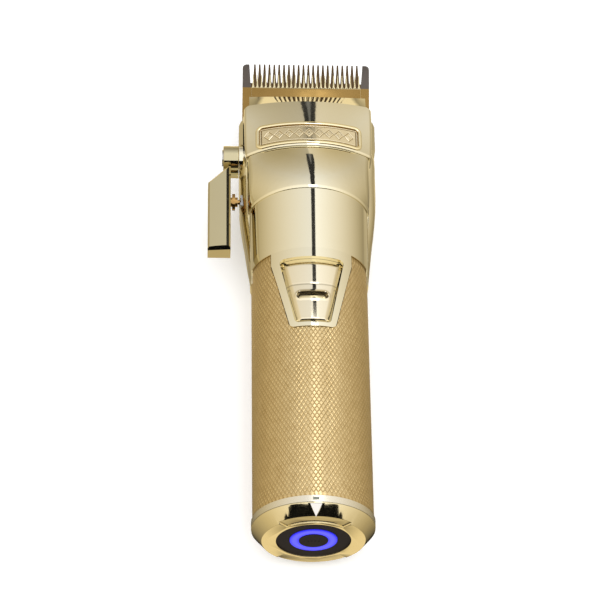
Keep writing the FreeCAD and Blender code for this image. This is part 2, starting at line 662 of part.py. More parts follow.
def lever_arm():
    """Arm with a leaning, slightly crowned front face that rolls over beside its inner edge."""
    x0, x1 = LEVER_X
    z0, z1 = LEVER_Z
    bevel = LEVER_BEVEL
    y = LEVER_END_Y

    def at(x, z):
        return V(x, y, z)

    inner, roll, outer = x1 - bevel, x1 - 1.55, x0 + bevel
    lean = z1 - 0.74
    top = [Part.LineSegment(at(x1, z1 - bevel), at(inner, z1 - 0.08)),
           Part.Arc(at(inner, z1 - 0.08), at((inner + roll) / 2, z1 - 0.034), at(roll, z1)),
           Part.Arc(at(roll, z1), at((roll + outer) / 2, z1 - 0.315), at(outer, lean)),
           Part.LineSegment(at(outer, lean), at(x0, lean - bevel))]
    rest = [at(x0, lean - bevel), at(x0, z0 + bevel), at(outer, z0), at(inner, z0), at(x1, z0 + bevel),
            at(x1, z1 - bevel)]
    wire = Part.Wire([e.toShape() for e in top] + Part.makePolygon(rest).Edges)
    arm = Part.Face(wire).extrude(V(0, 145.0 - y, 0))
    slant_y0, slant_y1 = LEVER_SLANT_Y
    slant_x = x1 - 0.7
    lead = (slant_y1 - slant_y0) / (slant_x - x0)
    corner = prism([(x0 - 1, slant_y0 - lead, -9), (slant_x, slant_y1, -9), (x1 + 1, slant_y1, -9),
                    (x1 + 1, 150, -9), (x0 - 1, 150, -9)], V(0, 0, 20))
    end = bevel_cut((x0, y, lean), (x1, y, z1), (0, 1, 0), LEVER_END_BEVEL)
    foot = bevel_cut((x0, y, -z0), (x1, y, -z0), (0, 1, 0), bevel)
    foot = foot.mirror(V(0, 0, 0), V(0, 0, 1))
    slant = bevel_cut((x0, slant_y0, lean - bevel * 0.1), (slant_x, slant_y1, z1), (lead, -1, 0), bevel * 0.7)
    return arm.cut([corner, end, foot, slant])


def taper_lever():
    hub = cyl_x(HUB_R, *HUB_X, PIVOT_Y, PIVOT_Z)
    rims = [e for e in hub.Edges if e.Curve.TypeId == "Part::GeomCircle"]
    hub = hub.makeFillet(0.3, rims)
    root = box(HUB_X[0], HUB_X[1], 143.7, 149.0, LEVER_Z[0], -1.9)
    lever = fused(lever_arm(), hub, root)
    cuts = [cyl_x(1.95, -40, -20, PIVOT_Y, PIVOT_Z), cyl_x(3.0, -31, -28.6, PIVOT_Y, PIVOT_Z),
            cyl_x(1.75, -33.5, -20, PLUNGER_Y, 0)]
    return lever.cut(cuts)


def lever_shaft():
    """Shaft through the head wall with its crank and pin at the inner end."""
    shaft = cyl_x(1.95, -28.6, -16.9, PIVOT_Y, PIVOT_Z)
    crank = cyl_x(6.0, -17.0, -15.0, PIVOT_Y, PIVOT_Z)
    a = math.radians(BLADE_TILT - 90 - LEVER_SWING / 2)
    pin = cyl_x(1.2, -15.1, -12.4, PIVOT_Y + CRANK_R * math.cos(a), PIVOT_Z + CRANK_R * math.sin(a))
    return fused(shaft, crank, pin).cut(cyl_x(0.9, -30, -23, PIVOT_Y, PIVOT_Z))


def lever_screw():
    head = cyl_x(2.9, -30.3, -28.6, PIVOT_Y, PIVOT_Z)
    slot = box(-31, -29.5, PIVOT_Y - 3, PIVOT_Y + 3, -0.4, 0.4)
    return fused(head, cyl_x(0.9, -28.7, -23.0, PIVOT_Y, PIVOT_Z)).cut(slot)


def lever_bush():
    flange = cyl_x(4.6, -24.3, -23.0, PIVOT_Y, PIVOT_Z)
    barrel = cyl_x(2.8, -23.1, -20.6, PIVOT_Y, PIVOT_Z)
    return fused(flange, barrel).cut(cyl_x(2.0, -26, -19, PIVOT_Y, PIVOT_Z))


def detent_arc(grow, x_out=-23.9):
    """Arc-shaped insert in the side wall, centred on the lever's pivot."""
    radius = PIVOT_Y - PLUNGER_Y
    ring = cyl_x(radius + 2.2 + grow, x_out, -22.8 + grow, PIVOT_Y, PIVOT_Z).cut(
        cyl_x(radius - 2.2 - grow, -40, 0, PIVOT_Y, PIVOT_Z))
    reach = radius + 6
    low, high = math.radians(180 - 4), math.radians(180 + LEVER_SWING + 5)
    wedge = prism([(-40, PIVOT_Y, PIVOT_Z),
                   (-40, PIVOT_Y + reach * math.cos(low), PIVOT_Z + reach * math.sin(low)),
                   (-40, PIVOT_Y + reach * 1.15 * math.cos((low + high) / 2),
                    PIVOT_Z + reach * 1.15 * math.sin((low + high) / 2)),
                   (-40, PIVOT_Y + reach * math.cos(high), PIVOT_Z + reach * math.sin(high))], V(40, 0, 0))
    return ring.common(wedge)


def detent_plate():
    """Insert with a shallow track and five dimples for the plunger."""
    plate = detent_arc(0.0)
    radius = PIVOT_Y - PLUNGER_Y
    track = cyl_x(radius + 0.95, -24.5, -23.6, PIVOT_Y, PIVOT_Z).cut(
        cyl_x(radius - 0.95, -25, -23, PIVOT_Y, PIVOT_Z))
    dimples = []
    for i in range(5):
        a = math.pi + math.radians(LEVER_SWING * i / 4)
        y, z = PIVOT_Y + radius * math.cos(a), PIVOT_Z + radius * math.sin(a)
        dimples.append(cyl_x(0.55, -24.0, -23.3, y, z))
    return plate.cut([track] + dimples)


def detent_plunger():
    """Stepped pin that the lever's spring presses on to the detent plate."""
    guide = cyl_x(0.95, -32.7, -30.4, PLUNGER_Y, 0)
    stem = cyl_x(1.65, -30.4, -26.7, PLUNGER_Y, 0)
    collar = cyl_x(2.95, -26.75, -25.7, PLUNGER_Y, 0)
    step = cyl_x(1.7, -25.75, -24.8, PLUNGER_Y, 0)
    tip = cyl_x(0.8, -24.85, -24.1, PLUNGER_Y, 0)
    end = Part.makeCone(0.8, 0.35, 0.42, V(-24.1, PLUNGER_Y, 0), V(1, 0, 0))
    return fused(guide, stem, collar, step, tip, end)


def plunger_spring():
    """Close-wound spring behind the plunger's stem, its coils in contact."""
    wire_r, pitch = 0.2, 0.38
    coils = [Part.makeTorus(1.3, wire_r, V(-33.2 + i * pitch, PLUNGER_Y, 0), V(1, 0, 0)) for i in range(6)]
    return fused(*coils)


# ---------------------------------------------------------------- battery
def battery_cap():
    profile = [(DISC_R + 0.05, 0.0), (CAP_RIM_R, 0.0), (CAP_R, CAP_H - 0.35), (CAP_R, CAP_H), (16.9, CAP_H),
               (16.9, 10.0), (15.6, 10.0), (15.6, 2.2), (DISC_R + 0.05, 2.2)]
    cap = revolved(profile)
    lugs = [sector_y(17.85, 15.8, 7.4, 9.2, i * 360.0 / LUG_COUNT - LUG_WIDTH / 2, LUG_WIDTH)
            for i in range(LUG_COUNT)]
    cap = fused(cap, *lugs)
    seal_groove = tube_y(18.0, 16.2, 5.2, 6.2)
    reliefs = [sector_y(25.0, 5.0, -1.0, 0.55, at - 42, 84).cut(cyl_y(CAP_RIM_R - 3.4, -2, 1))
               for at in (0, 180)]
    return cap.cut([seal_groove, cap_marker()] + reliefs)


def cap_marker():
    """Arrow inlaid in the cap's slope, that points away from the ring's mark."""
    slope_end = CAP_H - 0.35
    skin = revolved([(CAP_RIM_R, 0.0), (CAP_R, slope_end), (CAP_R - 0.5, slope_end), (CAP_RIM_R - 0.5, 0.0)])
    arrow = prism([(0, 0.45, 10), (1.95, 3.85, 10), (-1.95, 3.85, 10)], V(0, 0, 15))
    return skin.common(arrow)


def cap_seal():
    return tube_y(17.0, 16.25, 5.25, 6.15)


def end_disc():
    return tube_y(DISC_R, LED_R[1] + 0.02, 0.5, 2.2)


def led_ring():
    ring = tube_y(LED_R[1], LED_R[0], 0.15, 2.2)
    rims = [e for e in ring.Edges if e.Curve.TypeId == "Part::GeomCircle" and e.CenterOfMass.y < 1]
    return ring.makeFillet(0.15, rims)


def centre_disc():
    disc = cyl_y(LED_R[0] - 0.02, 0.0, 2.2)
    dots = [cyl_y(0.28, -1, 0.15, x, 0) for x in (-1.8, -0.6, 0.6, 1.8)]
    return disc.cut(dots)


def led_board():
    return cyl_y(15.3, 2.3, 3.7)


def battery_cell():
    cell = fused(cyl_y(CELL_R, CELL_Y[0], CELL_Y[1] - 1.0), cyl_y(4.5, CELL_Y[1] - 1.1, CELL_Y[1]))
    return cell


def cell_sleeve():
    return tube_y(15.4, CELL_R + 0.05, 10.6, 68.0)


def battery_can():
    tube = tube_y(16.6, 15.45, 10.05, 72.0)
    end = tube_y(15.5, 2.0, 70.6, 72.0)
    return fused(tube, end)


def contact_rings():
    return Part.makeCompound([tube_y(5.5, 4.0, 72.0, 72.35), tube_y(9.5, 8.0, 72.0, 72.35)])


def contact_carrier():
    disc = cyl_y(16.95, 74.2, 76.4)
    holes = [cyl_y(0.9, 70, 80, x, 0) for x in (-8.75, 4.75, 8.75)]
    return disc.cut(holes)


def contact_pins():
    return Part.makeCompound([cyl_y(0.9, 72.45, 78.6, x, 0) for x in (-8.75, 4.75, 8.75)])


# ---------------------------------------------------------------- all nodes
NODES = {
    "grip_sleeve": grip_sleeve,
    "core_tube": core_tube,
    "index_ring": index_ring,
    "ring_mark": ring_mark,
    "front_shell": front_shell,
    "rear_shell": rear_shell,
    "shell_screws": shell_screws,
    "face_band": face_band,
    "badge_plate": badge_plate,
    "side_rail_left": lambda: side_rail(-1),
    "side_rail_right": lambda: side_rail(1),
    "fixed_blade": fixed_blade,
    "blade_screws": blade_screws,
    "blade_base": blade_base,
    "cutter_blade": cutter_blade,
    "cutter_yoke": yoke,
    "taper_carriage": taper_carriage,
    "guide_rod": guide_rod,
    "tension_springs": tension_springs,
    "rotor_magnet": rotor_magnet,
    "motor_shaft": motor_shaft,
    "eccentric_cam": eccentric_cam,
    "cam_bearing": cam_bearing,
    "motor_bearing_rear": lambda: ball_bearing(98.8, 102.2),
    "motor_bearing_front": lambda: ball_bearing(134.2, 137.6),
    "motor_can": motor_can,
    "motor_cover": motor_cover,
    "stator_core": stator_core,
    "stator_coils": stator_coils,
    "motor_mount": motor_mount,
    "motor_screws": motor_screws,
    "motor_cradle": motor_cradle,
    "control_board": control_board,
    "board_components": board_parts,
    "slide_contact": slide_contact,
    "switch_slider": switch_slider,
    "taper_lever": taper_lever,
    "lever_shaft": lever_shaft,
    "lever_screw": lever_screw,
    "lever_bush": lever_bush,
    "detent_plate": detent_plate,
    "detent_plunger": detent_plunger,
    "plunger_spring": plunger_spring,
    "battery_cap": battery_cap,
    "cap_marker": cap_marker,
    "cap_seal": cap_seal,
    "end_disc": end_disc,
    "led_ring": led_ring,
    "centre_disc": centre_disc,
    "led_board": led_board,
    "battery_cell": battery_cell,
    "cell_sleeve": cell_sleeve,
    "battery_can": battery_can,
    "contact_rings": contact_rings,
    "contact_carrier": contact_carrier,
    "contact_pins": contact_pins,
}


def main():
    os.makedirs("parts", exist_ok=True)
    for name, make in NODES.items():
        shape = make()
        solids = shape.Solids
        volume = sum(solid.Volume for solid in solids)
        print(f"{name:22s} {len(solids)} solid(s) {volume:9.1f} mm3 valid={shape.isValid()}")
        kept = solids[0] if len(solids) == 1 else Part.makeCompound(solids)
        kept.exportStep(f"parts/{name}.step")


main()
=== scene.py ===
"""Looks of a cordless hair clipper: polished champagne-gold head, knurled grip, gold blades, lit end.

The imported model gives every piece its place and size. Metres; +Y runs from the charging end to the blade
tips and +Z points to the front. The clipper lies on its back.
"""

import logging
import math
from collections.abc import Callable
from dataclasses import dataclass
from enum import Enum

import bmesh
import bpy
from mathutils import Matrix, Vector
from mathutils.bvhtree import BVHTree


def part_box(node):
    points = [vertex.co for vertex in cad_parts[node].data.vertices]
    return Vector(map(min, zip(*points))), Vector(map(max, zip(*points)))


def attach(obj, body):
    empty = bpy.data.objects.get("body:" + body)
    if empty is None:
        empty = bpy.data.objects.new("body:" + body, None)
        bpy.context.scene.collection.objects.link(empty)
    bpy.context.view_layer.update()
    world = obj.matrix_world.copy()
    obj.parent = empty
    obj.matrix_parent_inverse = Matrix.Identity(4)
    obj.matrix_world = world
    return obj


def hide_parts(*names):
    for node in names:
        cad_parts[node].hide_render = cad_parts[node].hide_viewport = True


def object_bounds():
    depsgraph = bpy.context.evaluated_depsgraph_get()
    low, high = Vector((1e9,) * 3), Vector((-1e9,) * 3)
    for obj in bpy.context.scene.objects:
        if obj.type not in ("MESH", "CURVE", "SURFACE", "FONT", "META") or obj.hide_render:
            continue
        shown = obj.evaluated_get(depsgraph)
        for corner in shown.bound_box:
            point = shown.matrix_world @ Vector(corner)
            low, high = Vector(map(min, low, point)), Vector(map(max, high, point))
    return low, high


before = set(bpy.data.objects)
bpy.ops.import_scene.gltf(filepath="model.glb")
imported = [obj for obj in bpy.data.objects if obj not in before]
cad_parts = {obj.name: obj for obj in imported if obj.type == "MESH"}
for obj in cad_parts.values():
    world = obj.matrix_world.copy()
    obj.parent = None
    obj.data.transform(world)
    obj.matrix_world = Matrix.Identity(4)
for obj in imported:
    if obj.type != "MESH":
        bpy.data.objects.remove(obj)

LOG = logging.getLogger("clipper")
MM = 0.001
CAD_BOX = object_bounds()


# ---------------------------------------------------------------- shader groups
class Shade:
    """Small helper that adds nodes to one node tree."""

    def __init__(self, tree: bpy.types.NodeTree) -> None:
        """Keeps the tree that nodes are added to."""
        self.tree = tree

    def node(self, kind: str, **settings: object) -> bpy.types.Node:
        """Adds a node.

        Args:
            kind: Blender's node type.
            settings: attributes of the node, and inputs whose names start with in_.

        Returns:
            The new node.
        """
        made = self.tree.nodes.new(kind)
        for name, value in settings.items():
            if name.startswith("in_"):
                made.inputs[name[3:].replace("_", " ")].default_value = value
            else:
                setattr(made, name, value)
        return made

    def link(self, source: bpy.types.NodeSocket, target: bpy.types.NodeSocket) -> None:
        """Links one socket to another."""
        self.tree.links.new(source, target)

    def place(self) -> bpy.types.NodeSocket:
        """Adds the object's own coordinates."""
        return self.node("ShaderNodeTexCoord").outputs["Object"]

    def math(self, operation: str, first: object, second: object = 0.0,
             clamp: bool = False) -> bpy.types.NodeSocket:
        """Adds a Math node.

        Args:
            operation: Blender's name of the operation.
            first: a socket or a number.
            second: another.
            clamp: whether the result is kept from 0 to 1.

        Returns:
            The node's output.
        """
        made = self.node("ShaderNodeMath", operation=operation, use_clamp=clamp)
        for socket, value in zip(made.inputs, (first, second)):
            if isinstance(value, bpy.types.NodeSocket):
                self.link(value, socket)
            else:
                socket.default_value = value
        return made.outputs[0]

    def ramp(self, value: bpy.types.NodeSocket, low: float, high: float) -> bpy.types.NodeSocket:
        """Stretches a value over a range, clamped.

        Args:
            value: what is stretched.
            low: where the result is 0.
            high: where it is 1.

        Returns:
            The stretched value.
        """
        made = self.node("ShaderNodeMapRange", clamp=True)
        self.link(value, made.inputs["Value"])
        made.inputs["From Min"].default_value = low
        made.inputs["From Max"].default_value = high
        return made.outputs["Result"]

    def mix(self, factor: bpy.types.NodeSocket, first: object, second: object) -> bpy.types.NodeSocket:
        """Adds a colour Mix node.

        Args:
            factor: how much of the second colour shows.
            first: a socket or a colour.
            second: another.

        Returns:
            The mixed colour.
        """
        made = self.node("ShaderNodeMix", data_type="RGBA")
        self.link(factor, made.inputs["Factor"])
        for socket, value in zip((made.inputs[6], made.inputs[7]), (first, second)):
            if isinstance(value, bpy.types.NodeSocket):
                self.link(value, socket)
            else:
                socket.default_value = (*value, 1.0)
        return made.outputs[2]


def new_group(name: str, inputs: dict[str, object],
              outputs: dict[str, str]) -> tuple[Shade, bpy.types.Node, bpy.types.Node]:
    """Starts a shader node group.

    Args:
        name: the group's name.
        inputs: default value of each named input; a tuple is a colour.
        outputs: socket type of each named output.

    Returns:
        The group's shade helper, its input node and its output node.
    """
    tree = bpy.data.node_groups.new(name, "ShaderNodeTree")
    for label, value in inputs.items():
        kind = "NodeSocketColor" if isinstance(value, tuple) else "NodeSocketFloat"
        socket = tree.interface.new_socket(label, in_out="INPUT", socket_type=kind)
        socket.default_value = (*value, 1.0) if isinstance(value, tuple) else value
    for label, kind in outputs.items():
        tree.interface.new_socket(label, in_out="OUTPUT", socket_type=kind)
    shade = Shade(tree)
    return shade, shade.node("NodeGroupInput"), shade.node("NodeGroupOutput")


def metal_grain_group() -> bpy.types.NodeTree:
    """Fine unevenness of a plated or ground metal: cloudy tint, patchy gloss and hairline scratches.

    Returns:
        The node group, with outputs Color, Roughness and Height.
    """
    shade, start, end = new_group(
        "metal_grain",
        {"Base": (0.7, 0.6, 0.4), "Tint": (0.6, 0.5, 0.3), "Cloud Scale": 60.0, "Cloud Amount": 0.2,
         "Gloss": 0.1, "Gloss Spread": 0.03, "Hair Scale": 900.0, "Hair Amount": 0.2},
        {"Color": "NodeSocketColor", "Roughness": "NodeSocketFloat", "Height": "NodeSocketFloat"})
    place = shade.place()
    cloud = shade.node("ShaderNodeTexNoise", in_Detail=4.0, in_Roughness=0.55)
    shade.link(place, cloud.inputs["Vector"])
    shade.link(start.outputs["Cloud Scale"], cloud.inputs["Scale"])
    stretch = shade.node("ShaderNodeMapping")
    stretch.inputs["Scale"].default_value = (1.0, 0.04, 1.0)
    shade.link(place, stretch.inputs["Vector"])
    hair = shade.node("ShaderNodeTexNoise", in_Detail=3.0, in_Roughness=0.7)
    shade.link(stretch.outputs["Vector"], hair.inputs["Vector"])
    shade.link(start.outputs["Hair Scale"], hair.inputs["Scale"])
    cloudy = shade.ramp(cloud.outputs["Fac"], 0.35, 0.65)
    tint = shade.math("MULTIPLY", cloudy, start.outputs["Cloud Amount"])
    shade.link(shade.mix(tint, start.outputs["Base"], start.outputs["Tint"]), end.inputs["Color"])
    patch = shade.math("MULTIPLY", cloudy, start.outputs["Gloss Spread"])
    shade.link(shade.math("ADD", start.outputs["Gloss"], patch), end.inputs["Roughness"])
    height = shade.math("MULTIPLY", hair.outputs["Fac"], start.outputs["Hair Amount"])
    shade.link(height, end.inputs["Height"])
    return shade.tree


METAL_GRAIN = metal_grain_group()


class Mark(Enum):
    """Mesh attributes, from 0 to 1, that say where painted shade lies in hollows and where a painted
    highlight lies on bevelled edges.
    """

    NONE = ""
    PAINTED_SHADE = "painted_shade"
    PAINTED_HIGHLIGHT = "painted_highlight"


def surface_mark_group() -> bpy.types.NodeTree:
    """Painted shade in grooves and recesses and painted highlight along bevelled edges, each laid over a
    finish where a mask says.

    Returns:
        The node group, with outputs Color and Roughness.
    """
    shade, start, end = new_group(
        "surface_mark",
        {"Color": (0.7, 0.6, 0.4), "Roughness": 0.1, "Mask": 0.0, "Mark Color": (0.2, 0.1, 0.05),
         "Mark Gloss": 0.1, "Patch Scale": 400.0},
        {"Color": "NodeSocketColor", "Roughness": "NodeSocketFloat"})
    patch = shade.node("ShaderNodeTexNoise", in_Detail=3.0)
    shade.link(shade.place(), patch.inputs["Vector"])
    shade.link(start.outputs["Patch Scale"], patch.inputs["Scale"])
    uneven = shade.math("ADD", shade.math("MULTIPLY", patch.outputs["Fac"], 0.5), 0.75)
    mask = shade.math("MULTIPLY", start.outputs["Mask"], uneven, clamp=True)
    shade.link(shade.mix(mask, start.outputs["Color"], start.outputs["Mark Color"]), end.inputs["Color"])
    change = shade.math("MULTIPLY", mask, start.outputs["Mark Gloss"])
    shade.link(shade.math("ADD", start.outputs["Roughness"], change), end.inputs["Roughness"])
    return shade.tree


SURFACE_MARK = surface_mark_group()


def new_material(name: str) -> tuple[bpy.types.Material, Shade, bpy.types.Node]:
    """Starts a node-based material.

    Args:
        name: the material's name.

    Returns:
        The material, its shade helper and its shader.
    """
    material = bpy.data.materials.new(name)
    material.use_nodes = True
    return material, Shade(material.node_tree), material.node_tree.nodes["Principled BSDF"]


# ---------------------------------------------------------------- finishes
Colour = tuple[float, float, float]


@dataclass(frozen=True)
class MetalFinish:
    """A plated, ground or machined metal surface."""

    name: str
    base: Colour
    tint: Colour
    gloss: float = 0.08
    gloss_spread: float = 0.02
    cloud_scale: float = 60.0
    cloud_amount: float = 0.25
    hair_scale: float = 900.0
    hair_amount: float = 0.2
    bump: float = 0.02
    mark: Mark = Mark.NONE
    mark_colour: Colour = (0.2, 0.1, 0.05)
    mark_gloss: float = 0.1

    def build(self) -> bpy.types.Material:
        """Makes the material.

        Returns:
            A metal that reads the shared grain group with this finish's values, and its painted shade or
            painted highlight.
        """
        material, shade, shader = new_material(self.name)
        shader.inputs["Metallic"].default_value = 1.0
        grain = shade.node("ShaderNodeGroup", node_tree=METAL_GRAIN)
        grain.inputs["Base"].default_value = (*self.base, 1.0)
        grain.inputs["Tint"].default_value = (*self.tint, 1.0)
        for size in ("cloud_scale", "cloud_amount", "gloss", "gloss_spread", "hair_scale", "hair_amount"):
            grain.inputs[size.replace("_", " ").title()].default_value = getattr(self, size)
        last = grain
        if self.mark is not Mark.NONE:
            last = shade.node("ShaderNodeGroup", node_tree=SURFACE_MARK)
            last.inputs["Mark Color"].default_value = (*self.mark_colour, 1.0)
            last.inputs["Mark Gloss"].default_value = self.mark_gloss
            shade.link(grain.outputs["Color"], last.inputs["Color"])
            shade.link(grain.outputs["Roughness"], last.inputs["Roughness"])
            place = shade.node("ShaderNodeAttribute", attribute_name=self.mark.value)
            shade.link(place.outputs["Fac"], last.inputs["Mask"])
        shade.link(last.outputs["Color"], shader.inputs["Base Color"])
        shade.link(last.outputs["Roughness"], shader.inputs["Roughness"])
        bump = shade.node("ShaderNodeBump", in_Strength=self.bump, in_Distance=0.0002)
        shade.link(grain.outputs["Height"], bump.inputs["Height"])
        shade.link(bump.outputs["Normal"], shader.inputs["Normal"])
        return material


@dataclass(frozen=True)
class PlasticFinish:
    """A moulded or coated surface with a fine orange-peel grain."""

    name: str
    base: Colour
    gloss: float = 0.4
    speckle: float = 0.03
    grain_scale: float = 1500.0
    bump: float = 0.1
    specular: float = 0.5
    gloss_spread: float = 0.15

    def build(self) -> bpy.types.Material:
        """Makes the material.

        Returns:
            The new material.
        """
        material, shade, shader = new_material(self.name)
        shader.inputs["Specular IOR Level"].default_value = self.specular
        noise = shade.node("ShaderNodeTexNoise", in_Scale=self.grain_scale, in_Detail=3.0)
        shade.link(shade.place(), noise.inputs["Vector"])
        lighter = tuple(min(1.0, c + self.speckle) for c in self.base)
        shade.link(shade.mix(noise.outputs["Fac"], self.base, lighter), shader.inputs["Base Color"])
        spread = shade.math("MULTIPLY", noise.outputs["Fac"], self.gloss_spread)
        shade.link(shade.math("ADD", spread, self.gloss), shader.inputs["Roughness"])
        bump = shade.node("ShaderNodeBump", in_Strength=self.bump, in_Distance=0.0001)
        shade.link(noise.outputs["Fac"], bump.inputs["Height"])
        shade.link(bump.outputs["Normal"], shader.inputs["Normal"])
        return material


@dataclass(frozen=True)
class BladeFinish:
    """Gold-coated steel whose teeth carry a colour of their own: a dark coat on the comb, a painted highlight
    on the moving blade; on the bevelled edges the gold's painted highlight partly shows through.
    """

    name: str
    gold: MetalFinish
    coat_and_highlight: Colour
    tip: tuple[float, float]
    tilt: float
    coat_and_highlight_reach: float
    fade: float
    tooth_coat_and_highlight: Colour
    toothed_half: float
    coat_and_highlight_gloss: float = 0.38
    inner_fade: float = 0.1 * MM
    edge_highlight_share: float = 0.2

    def build(self) -> bpy.types.Material:
        """Makes the material.

        Returns:
            The gold finish, with the teeth's own colour mixed in over the teeth.
        """
        material = self.gold.build()
        material.name = self.name
        shade = Shade(material.node_tree)
        shader = material.node_tree.nodes["Principled BSDF"]
        gold = shader.inputs["Base Color"].links[0].from_socket
        rough = shader.inputs["Roughness"].links[0].from_socket
        split = shade.node("ShaderNodeSeparateXYZ")
        shade.link(shade.place(), split.inputs[0])
        along = shade.math("SUBTRACT", self.tip[0], split.outputs["Y"])
        along = shade.math("MULTIPLY", along, math.cos(self.tilt))
        rise = shade.math("SUBTRACT", self.tip[1], split.outputs["Z"])
        rise = shade.math("MULTIPLY", rise, math.sin(self.tilt))
        back = shade.math("ADD", along, rise)
        mask = shade.ramp(back, self.coat_and_highlight_reach + self.fade / 2, self.coat_and_highlight_reach - self.fade / 2)
        across = shade.math("ABSOLUTE", split.outputs["X"])
        inner = shade.ramp(across, self.toothed_half, self.toothed_half - self.inner_fade)
        coat_and_highlight = shade.mix(inner, self.coat_and_highlight, self.tooth_coat_and_highlight)
        # Bevelled tooth edges partly show the gold with its painted highlight.
        band_kept = shade.math("SUBTRACT", 1.0, self.highlighted_edges(shade))
        shade.link(shade.mix(shade.math("MULTIPLY", mask, band_kept), gold, coat_and_highlight), shader.inputs["Base Color"])
        duller = shade.math("MULTIPLY", mask, self.coat_and_highlight_gloss - self.gold.gloss)
        shade.link(shade.math("ADD", rough, duller), shader.inputs["Roughness"])
        return material

    def highlighted_edges(self, shade: Shade) -> bpy.types.NodeSocket:
        """How much of the gold's painted highlight shows on the bevelled tooth edges, where the painted
        highlight attribute says.
        """
        place = shade.node("ShaderNodeAttribute", attribute_name=Mark.PAINTED_HIGHLIGHT.value)
        return shade.math("MULTIPLY", place.outputs["Fac"], self.edge_highlight_share)


@dataclass(frozen=True)
class GlowFinish:
    """A translucent ring lit from behind, brightest along its middle."""

    name: str
    core: Colour
    edge: Colour
    strength: float
    mid_radius: float
    half_width: float
    core_share: float = 0.25
    gloss: float = 0.3
    specular: float = 0.15

    def build(self) -> bpy.types.Material:
        """Makes the material.

        Returns:
            The new material.
        """
        material, shade, shader = new_material(self.name)
        flat = shade.node("ShaderNodeVectorMath", operation="MULTIPLY")
        flat.inputs[1].default_value = (1.0, 0.0, 1.0)
        shade.link(shade.place(), flat.inputs[0])
        length = shade.node("ShaderNodeVectorMath", operation="LENGTH")
        shade.link(flat.outputs[0], length.inputs[0])
        off = shade.math("ABSOLUTE", shade.math("SUBTRACT", length.outputs["Value"], self.mid_radius))
        fade = shade.ramp(off, self.half_width * self.core_share, self.half_width)
        shade.link(shade.mix(fade, self.core, self.edge), shader.inputs["Emission Color"])
        shader.inputs["Base Color"].default_value = (*self.edge, 1.0)
        shader.inputs["Emission Strength"].default_value = self.strength
        shader.inputs["Roughness"].default_value = self.gloss
        shader.inputs["Specular IOR Level"].default_value = self.specular
        return material


Finish = MetalFinish | PlasticFinish | BladeFinish | GlowFinish

POLISHED_GOLD = MetalFinish("polished_gold", (0.84, 0.79, 0.62), (0.82, 0.76, 0.58), 0.05, 0.02, bump=0.002)
SATIN_GOLD = MetalFinish("satin_gold", (0.80, 0.73, 0.54), (0.76, 0.69, 0.50), 0.13, 0.04, bump=0.004)
# Knurl valleys get painted shade in this brown.
KNURL_GOLD = MetalFinish("knurled_gold", (0.98, 0.82, 0.50), (0.92, 0.75, 0.44), 0.20, 0.06, bump=0.01,
                         mark=Mark.PAINTED_SHADE, mark_colour=(0.42, 0.29, 0.12), mark_gloss=0.1)
# The slot's floor and the crease get painted shade in near-black.
SLIDER_GOLD = MetalFinish("slider_gold", (0.84, 0.77, 0.60), (0.80, 0.72, 0.55), 0.06, 0.02, bump=0.002,
                          mark=Mark.PAINTED_SHADE, mark_colour=(0.03, 0.02, 0.012), mark_gloss=0.3)
# The badge's engraved lines get painted shade in this brown.
BADGE_GOLD = MetalFinish("badge_gold", (0.92, 0.82, 0.60), (0.86, 0.75, 0.52), 0.2, 0.06, 900.0, 0.5,
                         bump=0.02, mark=Mark.PAINTED_SHADE, mark_colour=(0.16, 0.10, 0.03), mark_gloss=0.2)
# The bezel's flanks get painted shade in this brown.
BEZEL_GOLD = MetalFinish("bezel_gold", (0.94, 0.84, 0.56), (0.90, 0.78, 0.50), 0.07, 0.03, bump=0.004,
                         mark=Mark.PAINTED_SHADE, mark_colour=(0.30, 0.18, 0.04), mark_gloss=0.1)
# The mark colour is a pale painted highlight, read where a painted highlight attribute is set.
LEVER_GOLD = MetalFinish("lever_gold", (0.56, 0.50, 0.32), (0.53, 0.46, 0.29), 0.05, 0.02, bump=0.003,
                         mark=Mark.PAINTED_HIGHLIGHT, mark_colour=(0.86, 0.80, 0.60), mark_gloss=0.05)
PIN_GOLD = MetalFinish("pin_gold", (0.46, 0.28, 0.10), (0.36, 0.20, 0.07), 0.12, 0.05)
CAP_GOLD = MetalFinish("cap_gold", (0.80, 0.71, 0.47), (0.76, 0.65, 0.41), 0.07, 0.03, bump=0.01)
# The blades' bevelled edges get a bright, glossier painted highlight.
BLADE_GOLD = MetalFinish("blade_gold", (0.27, 0.17, 0.055), (0.22, 0.135, 0.04), 0.22, 0.08, 260.0, 0.4,
                         bump=0.005, mark=Mark.PAINTED_HIGHLIGHT, mark_colour=(1.0, 0.92, 0.62), mark_gloss=-0.08)
RING_SILVER = MetalFinish("champagne_ring", (0.78, 0.74, 0.64), (0.70, 0.66, 0.56), 0.22, 0.08, bump=0.05)
STEEL = MetalFinish("bright_steel", (0.55, 0.55, 0.56), (0.45, 0.45, 0.46), 0.2, 0.1)
MOTOR_STEEL = MetalFinish("plated_steel", (0.42, 0.42, 0.44), (0.35, 0.35, 0.36), 0.3, 0.1)
ALUMINIUM = MetalFinish("machined_aluminium", (0.7, 0.7, 0.72), (0.62, 0.62, 0.64), 0.3, 0.1)
BRASS = MetalFinish("machined_brass", (0.72, 0.52, 0.2), (0.62, 0.44, 0.16), 0.22, 0.1)
COPPER = MetalFinish("enamelled_copper", (0.62, 0.28, 0.13), (0.5, 0.2, 0.08), 0.3, 0.1,
                     hair_amount=0.8, bump=0.4)
MAGNET = MetalFinish("magnet_plate", (0.25, 0.25, 0.27), (0.2, 0.2, 0.22), 0.35, 0.1)
CELL_WRAP = PlasticFinish("cell_wrap", (0.05, 0.14, 0.4), 0.35)
BLACK_PLASTIC = PlasticFinish("black_plastic", (0.018, 0.018, 0.018), 0.45)
BLACK_DISC = PlasticFinish("black_disc", (0.011, 0.0075, 0.0075), 0.4, 0.01, specular=0.05)
